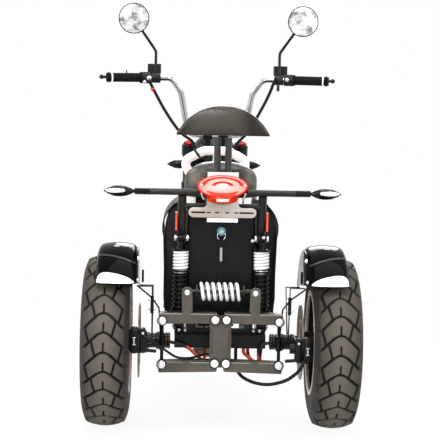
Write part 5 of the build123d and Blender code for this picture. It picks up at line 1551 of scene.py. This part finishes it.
def build_calipers(shop: Workshop) -> None:
    """Builds both rear calipers and their bright pins.

    Args:
        shop: Where the finished pieces go.
    """
    pair = [Caliper(-1, 0.265), Caliper(1, 0.241)]
    shop.keep(joined([piece for each in pair for piece in each.build()]), "rear_caliper_castings",
              "frame", NYLON_BLACK, ["rear_calipers"])
    shop.keep(joined([piece for each in pair for piece in each.slots()]), "rear_caliper_pins",
              "frame", ZINC)


@dataclass
class ShockSprings:
    """White and black coils wound round both shocks, and the cross spring."""

    foot: tuple[float, float, float] = (0.122, -0.622, 0.294)
    head: tuple[float, float, float] = (0.118, -0.625, 0.552)
    radius: float = 0.0190
    white_wire: float = 0.0043
    white_z: tuple[float, float] = (0.4610, 0.5170)
    white_turns: int = 6
    black_wire: float = 0.0034
    black_z: tuple[float, float] = (0.3440, 0.4500)
    black_turns: int = 8
    cross: tuple[tuple[float, float, float], ...] = ((-0.059, -0.680, 0.401), (0.053, -0.680, 0.401))
    cross_radius: float = 0.0232
    cross_wire: float = 0.0048
    cross_turns: float = 6.5

    def at(self, side: int, z: float) -> Vector:
        """Place on a shock's axis at a height."""
        low, high = Vector(self.foot), Vector(self.head)
        spot = low.lerp(high, (z - low.z) / (high.z - low.z))
        return Vector((side * spot.x, spot.y, spot.z))

    def pair(self, reach: tuple[float, float], wire: float, turns: int) -> list[bpy.types.Object]:
        """Winds one spring of each shock between two heights."""
        return [coil(*[self.at(side, z) for z in reach], self.radius, wire, turns) for side in SIDES]

    def build(self, shop: Workshop) -> None:
        """Winds the five springs.

        Args:
            shop: Where the finished springs go.
        """
        white = self.pair(self.white_z, self.white_wire, self.white_turns)
        white.append(coil(*self.cross, self.cross_radius, self.cross_wire, self.cross_turns))
        shop.keep(joined(white), "white_springs_wound", "frame", SPRING_WHITE,
                  ["white_springs"])
        black = self.pair(self.black_z, self.black_wire, self.black_turns)
        shop.keep(joined(black), "black_springs_wound", "frame", SPRING_BLACK,
                  ["black_springs"])


@dataclass
class TailLamp:
    """Oval tail lamp: a tilted lens over a curved red side with a bulb window."""

    centre: tuple[float, float, float] = (-0.002, -0.701, 0.709)
    half: tuple[float, float] = (0.0735, 0.037)
    face_share: float = 0.86
    tilt: float = 28.0
    # Lens as (share of the radius, place outward)
    profile: tuple[tuple[float, float], ...] = (
        (0, 0.006), (0.3, 0.0057), (0.6, 0.0046), (0.85, 0.0026), (0.95, 0.001), (1.0, -0.002),
        (0.97, -0.004), (0, -0.004))
    window_half: float = 0.050
    window_taper_share: float = 0.18
    window_y: float = -0.7245
    window_curve: float = 0.016
    window_z: float = 0.690
    window_drop: float = 0.032
    window_bow: float = 0.007
    window_wall: float = 0.002
    corner: tuple[tuple[float, float, float], ...] = (
        (0.064, -0.716, 0.690), (0.062, -0.712, 0.680), (0.056, -0.706, 0.671))
    corner_radius: float = 0.0035
    screw: tuple[float, float, float] = (0.063, -0.712, 0.712)
    screw_way: tuple[float, float, float] = (0, -0.9, 0.44)
    screw_head: tuple[float, float] = (0.0036, 0.003)
    strip: tuple[float, float, float] = (0.0, -0.668, 0.740)
    strip_size: tuple[float, float, float] = (0.090, 0.003, 0.016)
    strip_edge: float = 0.001

    def lens(self) -> bpy.types.Object:
        """Turns the lens' profile and stretches it to the oval.

        Returns:
            The lens in its place.
        """
        base = self.half[1]
        obj = lathe([Vector((share * base, 0, out)) for share, out in self.profile], Vector(), UP, 64)
        obj.scale = (self.half[0] / base, 1, 1)
        obj.rotation_euler = (math.radians(90 - self.tilt), 0, 0)
        obj.location = self.centre
        return settle(obj)

    def window_spot(self, u: float, v: float) -> Vector:
        """Place on the curved red side, from its upper edge down."""
        aside = 2 * u - 1
        return Vector((self.centre[0] + self.window_half * aside * (1 - self.window_taper_share * v),
                       self.window_y + self.window_curve * (aside ** 2 + v ** 2),
                       self.window_z - self.window_drop * v + self.window_bow * aside ** 2))

    def build(self, shop: Workshop) -> None:
        """Builds lens, side, bright corners, screws and backing strip.

        Args:
            shop: Where the finished pieces go.
        """
        # The pink body colour and paler middle paint the light on the red lens; the rim and the arcs are
        # its own red
        face = LampFace("red_acrylic_lens", "#e88f88", "#e2857e", 0.30, specular=0.08, grain_mm=6,
                        relief_mm=0.05, centre=self.centre,
                        half=(self.half[0], self.half[1] * self.face_share))
        shop.keep(self.lens(), "tail_lens", "frame", face, ["tail_lamp_lens"])
        window = sheet(24, 8, self.window_spot, self.window_wall)
        shop.keep(window, "tail_window", "frame", RED_WINDOW)
        bright = [tube([(way * x, y, z) for x, y, z in self.corner], self.corner_radius)
                  for way in SIDES]
        x, y, z = self.screw
        bright += [dome((way * x, y, z), *self.screw_head, self.screw_way) for way in SIDES]
        shop.keep(joined(bright), "tail_lamp_trim", "frame", CHROME)
        strip = block(self.strip, self.strip_size, self.strip_edge)
        shop.keep(strip, "tail_lamp_strip", "frame", WHITE_STRIP)


@dataclass
class PlateBracket:
    """Bright bracket for a number plate, with two slotted arms and a blank white strip."""

    y: float = -0.668
    wall: float = 0.002
    arm_half: float = 0.099
    arm_z: tuple[float, float] = (0.616, 0.645)
    neck_half: float = 0.046
    top: float = 0.697
    fillet: float = 0.012
    end_steps: int = 8
    fillet_steps: int = 5
    slot_x: float = 0.070
    slot: tuple[float, float] = (0.042, 0.005)
    holes_x: tuple[float, ...] = (-0.040, -0.016, 0.014, 0.040)
    hole: tuple[float, float] = (0.012, 0.0038)
    cut: float = 0.02
    edge: float = 0.0004
    slot_edge: float = 0.0018
    hole_edge: float = 0.0015
    strip_edge: float = 0.0005
    strip_drop: float = 0.0075
    strip_size: tuple[float, float, float] = (0.090, 0.0018, 0.012)

    def outline(self) -> list[Vector]:
        """Right half of the outline from the bottom, then its mirror image.

        Returns:
            The corners on the plate's rear face.
        """
        low, high = self.arm_z
        round_end = (high - low) / 2
        right = [(0, low)]
        for index in range(self.end_steps + 1):
            turn = -math.pi / 2 + math.pi * index / self.end_steps
            right.append((self.arm_half - round_end + round_end * math.cos(turn),
                          (low + high) / 2 + round_end * math.sin(turn)))
        for index in range(self.fillet_steps + 1):
            turn = math.pi / 2 * index / self.fillet_steps
            right.append((self.neck_half + self.fillet * (1 - math.sin(turn)),
                          high + self.fillet * (1 - math.cos(turn))))
        right.append((self.neck_half, self.top))
        left = [(-x, z) for x, z in reversed(right) if x > 0]
        return [Vector((x, self.y, z)) for x, z in [*right, *left]]

    def cutters(self) -> bpy.types.Object:
        """Tool that cuts the two long slots and the four short ones."""
        middle = sum(self.arm_z) / 2
        cuts = [(way * self.slot_x, self.slot, self.slot_edge) for way in SIDES]
        cuts += [(x, self.hole, self.hole_edge) for x in self.holes_x]
        return joined([block((x, self.y, middle), (length, self.cut, width), edge)
                       for x, (length, width), edge in cuts])

    def build(self, shop: Workshop) -> None:
        """Cuts the plate, its slots and holes, and adds the strip.

        Args:
            shop: Where the finished pieces go.
        """
        obj = plate(self.outline(), ALONG * self.wall, self.edge)
        tool = self.cutters()
        cut = obj.modifiers.new("slots", "BOOLEAN")
        cut.operation = "DIFFERENCE"
        cut.object = tool
        cut.solver = "EXACT"
        apply_modifiers(obj)
        focus(tool)
        bpy.ops.object.delete()
        shop.keep(smooth(obj, 30), "plate_bracket_cut", "frame", BRUSHED_STEEL,
                  ["plate_bracket"])
        strip = block((0, self.y + self.wall / 2, self.arm_z[0] - self.strip_drop), self.strip_size,
                      self.strip_edge)
        shop.keep(strip, "plate_bracket_strip", "frame", WHITE_STRIP)


@dataclass
class BarCables:
    """Thick sleeves from the bar's controls down to the fork's upper clamp."""

    radius: float = 0.0054
    left: tuple[tuple[float, float, float], ...] = (
        (-0.234, 0.146, 1.030), (-0.223, 0.150, 1.010), (-0.187, 0.190, 0.942), (-0.141, 0.230, 0.874),
        (-0.110, 0.266, 0.843), (-0.080, 0.305, 0.832), (-0.070, 0.324, 0.793))
    right: tuple[tuple[float, float, float], ...] = (
        (0.200, 0.138, 1.052), (0.195, 0.140, 1.038), (0.180, 0.170, 0.990), (0.150, 0.205, 0.930),
        (0.110, 0.262, 0.850), (0.080, 0.305, 0.832), (0.070, 0.324, 0.793))

    def build(self, shop: Workshop) -> None:
        """Draws both sleeves and hands them to the workshop."""
        sleeves = [tube(route, self.radius) for route in (self.left, self.right)]
        shop.keep(joined(sleeves), "bar_cable_sleeves", "steering", HOSE_BLACK,
                  ["bar_cables"])


@dataclass
class CoverBacks:
    """Closed rear ends of the two side covers."""

    y: float = -0.492
    wall: float = 0.003
    edge: float = 0.0008
    outline: tuple[tuple[float, float], ...] = (
        (0.119, 0.648), (0.142, 0.648), (0.157, 0.626), (0.166, 0.590), (0.1695, 0.545), (0.1700, 0.360),
        (0.166, 0.326), (0.154, 0.312), (0.119, 0.311))

    def build(self, shop: Workshop) -> None:
        """Cuts both ends and hands them to the workshop."""
        ends = [plate([Vector((side * x, self.y, z)) for x, z in self.outline], ALONG * self.wall,
                      self.edge) for side in SIDES]
        shop.keep(joined(ends), "cover_backs", "frame", NYLON_BLACK)


@dataclass
class BarDetails:
    """Buttons, posts, grip rings and the hanging key on the handlebar."""

    knee: tuple[float, float, float] = (0.160, 0.172, 1.047)
    end: tuple[float, float, float] = (0.378, 0.122, 1.043)
    ring_wall: float = 0.003
    # Grip rings and collars as (place along the bar, radius, width)
    rings: tuple[tuple[float, float, float], ...] = ((0.362, 0.0168, 0.005),)
    collars: tuple[tuple[float, float, float], ...] = ((0.256, 0.0178, 0.004), (0.372, 0.0178, 0.004))
    # Domed heads as (foot, radius, height)
    stop: tuple[Any, ...] = ((-0.224, 0.118, 1.004), 0.006, 0.005)
    buttons: tuple[tuple[Any, ...], ...] = (
        ((-0.236, 0.112, 1.043), 0.008, 0.004), ((-0.251, 0.112, 1.029), 0.006, 0.003),
        ((0.237, 0.105, 1.045), 0.007, 0.004))
    # Posts as (x, foot's height, top's height, radius)
    posts: tuple[tuple[float, ...], ...] = ((-0.314, 1.035, 1.069, 0.0022), (-0.297, 1.032, 1.060, 0.0028))
    post_y: float = 0.135
    # Key's bow and blade as (middle, size, edge)
    bow: tuple[Any, ...] = ((0.208, 0.118, 1.017), (0.010, 0.005, 0.022), 0.002)
    blade: tuple[Any, ...] = ((0.210, 0.118, 0.992), (0.0034, 0.0016, 0.024), 0.0005)

    def on_bar(self, side: int, x: float) -> Vector:
        """Place on the bar's straight end at a distance from the middle."""
        low, high = Vector(self.knee), Vector(self.end)
        spot = low.lerp(high, (x - low.x) / (high.x - low.x))
        return Vector((side * spot.x, spot.y, spot.z))

    def round_bar(self, side: int, x: float, radius: float, width: float) -> bpy.types.Object:
        """Ring round the bar at a distance from the middle."""
        way = (self.on_bar(side, 0.36) - self.on_bar(side, 0.30)).normalized()
        inner = radius - self.ring_wall
        return ring(self.on_bar(side, x), way, way.orthogonal().normalized(),
                    ((0, inner), (0, radius), (width, radius), (width, inner)))

    def build(self, shop: Workshop) -> None:
        """Builds them in their finishes.

        Args:
            shop: Where the finished pieces go.
        """
        rings = [self.round_bar(side, *each) for side in SIDES for each in self.rings]
        shop.keep(joined(rings), "grip_rings", "steering", WHITE_STRIP)
        collars = [self.round_bar(side, *each) for side in SIDES for each in self.collars]
        shop.keep(joined(collars), "grip_collars", "steering", GRIP_RUBBER)
        shop.keep(dome(*self.stop), "stop_button", "steering", RED_ANODISED)
        bright = [dome(*each) for each in self.buttons]
        shop.keep(joined(bright), "control_trim", "steering", CHROME)
        posts = [tube([(x, self.post_y, foot), (x, self.post_y, top)], radius, 0)
                 for x, foot, top, radius in self.posts]
        shop.keep(joined([*posts, block(*self.bow)]), "control_posts", "steering",
                  NYLON_BLACK)
        shop.keep(block(*self.blade), "key_blade", "steering", ZINC)


@dataclass
class SmallMetal:
    """Rim faces, signal lenses, washers and bright nuts."""

    track: float = 0.331
    # Profiles as (place along the axis, distance from it)
    rim: tuple[tuple[float, float], ...] = (
        (0.046, 0.1405), (0.0645, 0.1405), (0.0670, 0.144), (0.0672, 0.1545), (0.060, 0.1555),
        (0.046, 0.1515))
    clamp: tuple[tuple[float, float], ...] = (
        (-0.004, 0.0178), (-0.004, 0.0195), (0.004, 0.0195), (0.004, 0.0178))
    adjuster: tuple[tuple[float, float], ...] = (
        (-0.006, 0.012), (-0.006, 0.019), (0.0, 0.021), (0.004, 0.019), (0.004, 0.012))
    washer: tuple[tuple[float, float], ...] = (
        (0.0, 0.0122), (-0.0022, 0.0122), (-0.0022, 0.0145), (0.0, 0.0150))
    lens: tuple[tuple[float, float], ...] = (
        (0.276, 0.0), (0.279, 0.0035), (0.288, 0.0068), (0.300, 0.0082), (0.314, 0.0080),
        (0.328, 0.0060), (0.338, 0.0032), (0.342, 0.0))
    lens_axis: tuple[float, float] = (-0.6660, 0.690)
    clamp_spot: tuple[float, float, float] = (-0.066, 0.214, 0.787)
    clamp_way: tuple[float, float, float] = (0.81, 0, 0.59)
    adjuster_spot: tuple[float, float, float] = (0.1195, -0.6235, 0.455)
    washer_y: float = -0.7148
    washer_z: tuple[float, float] = (0.322, 0.195)
    # Washers of the centre plate and of the uprights as (place across, drop)
    washer_rows: tuple[tuple[float, float], ...] = ((0.0165, 0.0), (0.170, 0.004))
    beam_nuts_x: tuple[float, ...] = (-0.121, -0.103, 0.098, 0.116)
    beam_nuts: tuple[float, float] = (-0.6502, 0.283)
    beam_head: tuple[float, float] = (0.0048, 0.005)
    shock_head: tuple[float, float] = (0.0050, 0.006)
    shock_nuts: tuple[tuple[float, float, float], ...] = (
        (-0.100, -0.648, 0.555), (-0.135, -0.640, 0.555), (0.090, -0.648, 0.548), (0.123, -0.640, 0.557))

    def build(self, shop: Workshop) -> None:
        """Builds all of them.

        Args:
            shop: Where the finished pieces go.
        """
        for side, name in zip(SIDES, ("left", "right")):
            faces = [self.rim_face(side * self.track, way) for way in SIDES]
            shop.keep(joined(faces), f"rim_faces_{name}", f"rear_wheel_{name}", RIM_FACE)
        lenses = [self.signal_lens(side) for side in SIDES]
        shop.keep(joined(lenses), "signal_lenses", "frame", PALE_LENS_AND_PAINTED_REFLECTION)
        washers = [ring(Vector((side * x, self.washer_y, z - drop)), ALONG, ACROSS, self.washer)
                   for side in SIDES for x, drop in self.washer_rows for z in self.washer_z]
        shop.keep(joined(washers), "pivot_washers", "frame", BLACK_ENAMEL)
        nuts = [dome((x, *self.beam_nuts), *self.beam_head) for x in self.beam_nuts_x]
        nuts += [dome(place, *self.shock_head) for place in self.shock_nuts]
        x, y, z = self.adjuster_spot
        nuts += [ring(Vector((side * x, y, z)), UP, ACROSS, self.adjuster, 10) for side in SIDES]
        clamp = ring(Vector(self.clamp_spot), Vector(self.clamp_way), ALONG, self.clamp)
        shop.keep(clamp, "arch_clamp", "frame", HOSE_BLACK)
        shop.keep(joined(nuts), "beam_nuts", "frame", ZINC)

    def rim_face(self, middle: float, way: int) -> bpy.types.Object:
        """Machined lip of a rim: a thin turned ring beside the bead."""
        return ring(Vector((middle, *REAR_AXLE)), ACROSS, UP,
                    [(way * along, far) for along, far in self.rim], 64)

    def signal_lens(self, side: int) -> bpy.types.Object:
        """Pale lens in the rear face of a signal's pod."""
        y, z = self.lens_axis
        points = [Vector((side * x, y, z + radius)) for x, radius in self.lens]
        return lathe(points, Vector((0, y, z)), ACROSS, 24)


@dataclass
class Studio:
    """Pale floor, soft light and the photograph's camera."""

    camera_spot: tuple[float, float, float] = (-0.1314, -4.84, 0.877)
    pitch: float = 3.67
    yaw: float = 1.71
    roll: float = 1.07
    focal_px: float = 1437.0
    frame_px: float = 440.0
    sensor: float = 36.0
    floor_half: float = 30.0
    floor_colour: str = "#f4f3f2"
    ambient: float = 0.42
    shadow_reach: tuple[float, float] = (0.8, 2.2)
    shadow_share: float = 0.08
    aim: tuple[float, float, float] = (0, -0.2, 0.5)
    # Soft boxes: name, place, width, height and power in watts
    boxes: tuple[tuple[str, tuple[float, float, float], float, float, float], ...] = (
        ("box_rear", (-0.8, -3.4, 3.1), 1.8, 1.2, 90.0),
        ("box_rear_left", (-3.0, -3.4, 1.9), 0.9, 1.2, 55.0),
        ("box_rear_right", (3.0, -3.4, 1.9), 0.9, 1.2, 45.0),
        ("box_top", (0.3, -0.4, 3.4), 2.6, 2.2, 75.0),
        ("box_left", (-3.4, 0.6, 1.9), 1.6, 2.0, 60.0),
        ("box_right", (3.4, 0.4, 1.9), 1.6, 2.0, 60.0),
        ("box_front", (0.4, 4.2, 2.4), 2.0, 1.4, 90.0),
    )

    def build(self) -> None:
        """Builds the floor, the world, the lamps and the camera."""
        self.floor()
        self.world()
        self.lamps()
        self.camera()

    def floor(self) -> None:
        """Adds the floor: white to the camera, with a faint shadow."""
        focus()
        bpy.ops.mesh.primitive_plane_add(size=2 * self.floor_half)
        obj = bpy.context.active_object
        obj.name = "studio_floor"
        made = bpy.data.materials.new("studio_floor")
        made.use_nodes = True
        tree = made.node_tree
        tree.nodes.clear()
        matt = add_node(tree, "ShaderNodeBsdfDiffuse", {"Color": linear(self.floor_colour)})
        glow = add_node(tree, "ShaderNodeEmission", {"Color": WHITE, "Strength": 1.0})
        seen = self.seen(tree)
        where = add_node(tree, "ShaderNodeTexCoord").outputs["Object"]
        far = vectors(tree, "LENGTH", where, result="Value")
        held = add_node(tree, "ShaderNodeMapRange", {
            "Value": far, "From Min": self.shadow_reach[0], "From Max": self.shadow_reach[1],
            "To Min": 1 - self.shadow_share, "To Max": 1.0}).outputs["Result"]
        mixed = add_node(tree, "ShaderNodeMixShader", {
            0: maths(tree, "MULTIPLY", seen, held), 1: matt.outputs["BSDF"],
            2: glow.outputs["Emission"]})
        add_node(tree, "ShaderNodeOutputMaterial", {"Surface": mixed.outputs["Shader"]})
        obj.data.materials.append(made)

    def seen(self, tree: bpy.types.NodeTree) -> bpy.types.NodeSocket:
        """Tells the rays that show white surroundings.

        Args:
            tree: The nodes of the floor or the world.

        Returns:
            1 for rays from the camera, off a gloss or through glass, else 0.
        """
        path = add_node(tree, "ShaderNodeLightPath").outputs
        first = maths(tree, "MAXIMUM", path["Is Camera Ray"], path["Is Glossy Ray"])
        return maths(tree, "MAXIMUM", first, path["Is Transmission Ray"])

    def world(self) -> None:
        """White surroundings to the eye, and a softer light on the object."""
        world = bpy.data.worlds.new("studio")
        bpy.context.scene.world = world
        world.use_nodes = True
        tree = world.node_tree
        tree.nodes.clear()
        soft = add_node(tree, "ShaderNodeBackground", {"Color": WHITE, "Strength": self.ambient})
        white = add_node(tree, "ShaderNodeBackground", {"Color": WHITE, "Strength": 1.0})
        mixed = add_node(tree, "ShaderNodeMixShader", {
            0: self.seen(tree), 1: soft.outputs["Background"], 2: white.outputs["Background"]})
        add_node(tree, "ShaderNodeOutputWorld", {"Surface": mixed.outputs["Shader"]})

    def lamps(self) -> None:
        """Hangs the soft boxes and aims them at the machine."""
        for name, spot, width, height, power in self.boxes:
            lamp = bpy.data.lights.new(name, "AREA")
            lamp.shape = "RECTANGLE"
            lamp.size = width
            lamp.size_y = height
            lamp.energy = power
            obj = bpy.data.objects.new(name, lamp)
            bpy.context.scene.collection.objects.link(obj)
            obj.location = spot
            obj.rotation_euler = (Vector(self.aim) - Vector(spot)).to_track_quat("-Z", "Y").to_euler()

    def camera(self) -> None:
        """Adds the camera where the photograph was taken."""
        lens = bpy.data.cameras.new("camera")
        lens.sensor_width = self.sensor
        lens.lens = self.focal_px / self.frame_px * self.sensor
        obj = bpy.data.objects.new("camera", lens)
        bpy.context.scene.collection.objects.link(obj)
        aim = Matrix.Rotation(-math.radians(self.yaw), 4, "Z")
        tilt = Matrix.Rotation(math.radians(90 - self.pitch), 4, "X")
        turn = Matrix.Rotation(math.radians(self.roll), 4, "Z")
        obj.matrix_world = Matrix.Translation(self.camera_spot) @ aim @ tilt @ turn
        bpy.context.scene.camera = obj


def main() -> None:
    """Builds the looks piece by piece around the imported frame."""
    logging.basicConfig(level=logging.INFO, format="%(name)s %(message)s")
    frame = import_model()
    bpy.context.scene.view_settings.view_transform = "Standard"
    shop = Workshop(frame)
    shop.dress_frame()
    for node, body in (("rear_tyre_left", "rear_wheel_left"), ("rear_tyre_right", "rear_wheel_right"),
                       ("front_tyre", "front_wheel")):
        Tyre(node, body).build(shop)
    Backrest().build(shop)
    Saddle().build(shop)
    build_guards(shop)
    build_carriers(shop)
    build_calipers(shop)
    ShockSprings().build(shop)
    TailLamp().build(shop)
    PlateBracket().build(shop)
    BarCables().build(shop)
    CoverBacks().build(shop)
    BarDetails().build(shop)
    SmallMetal().build(shop)
    Studio().build()
    LOG.info("%d pieces", shop.kept)


if __name__ == "__main__":
    main()
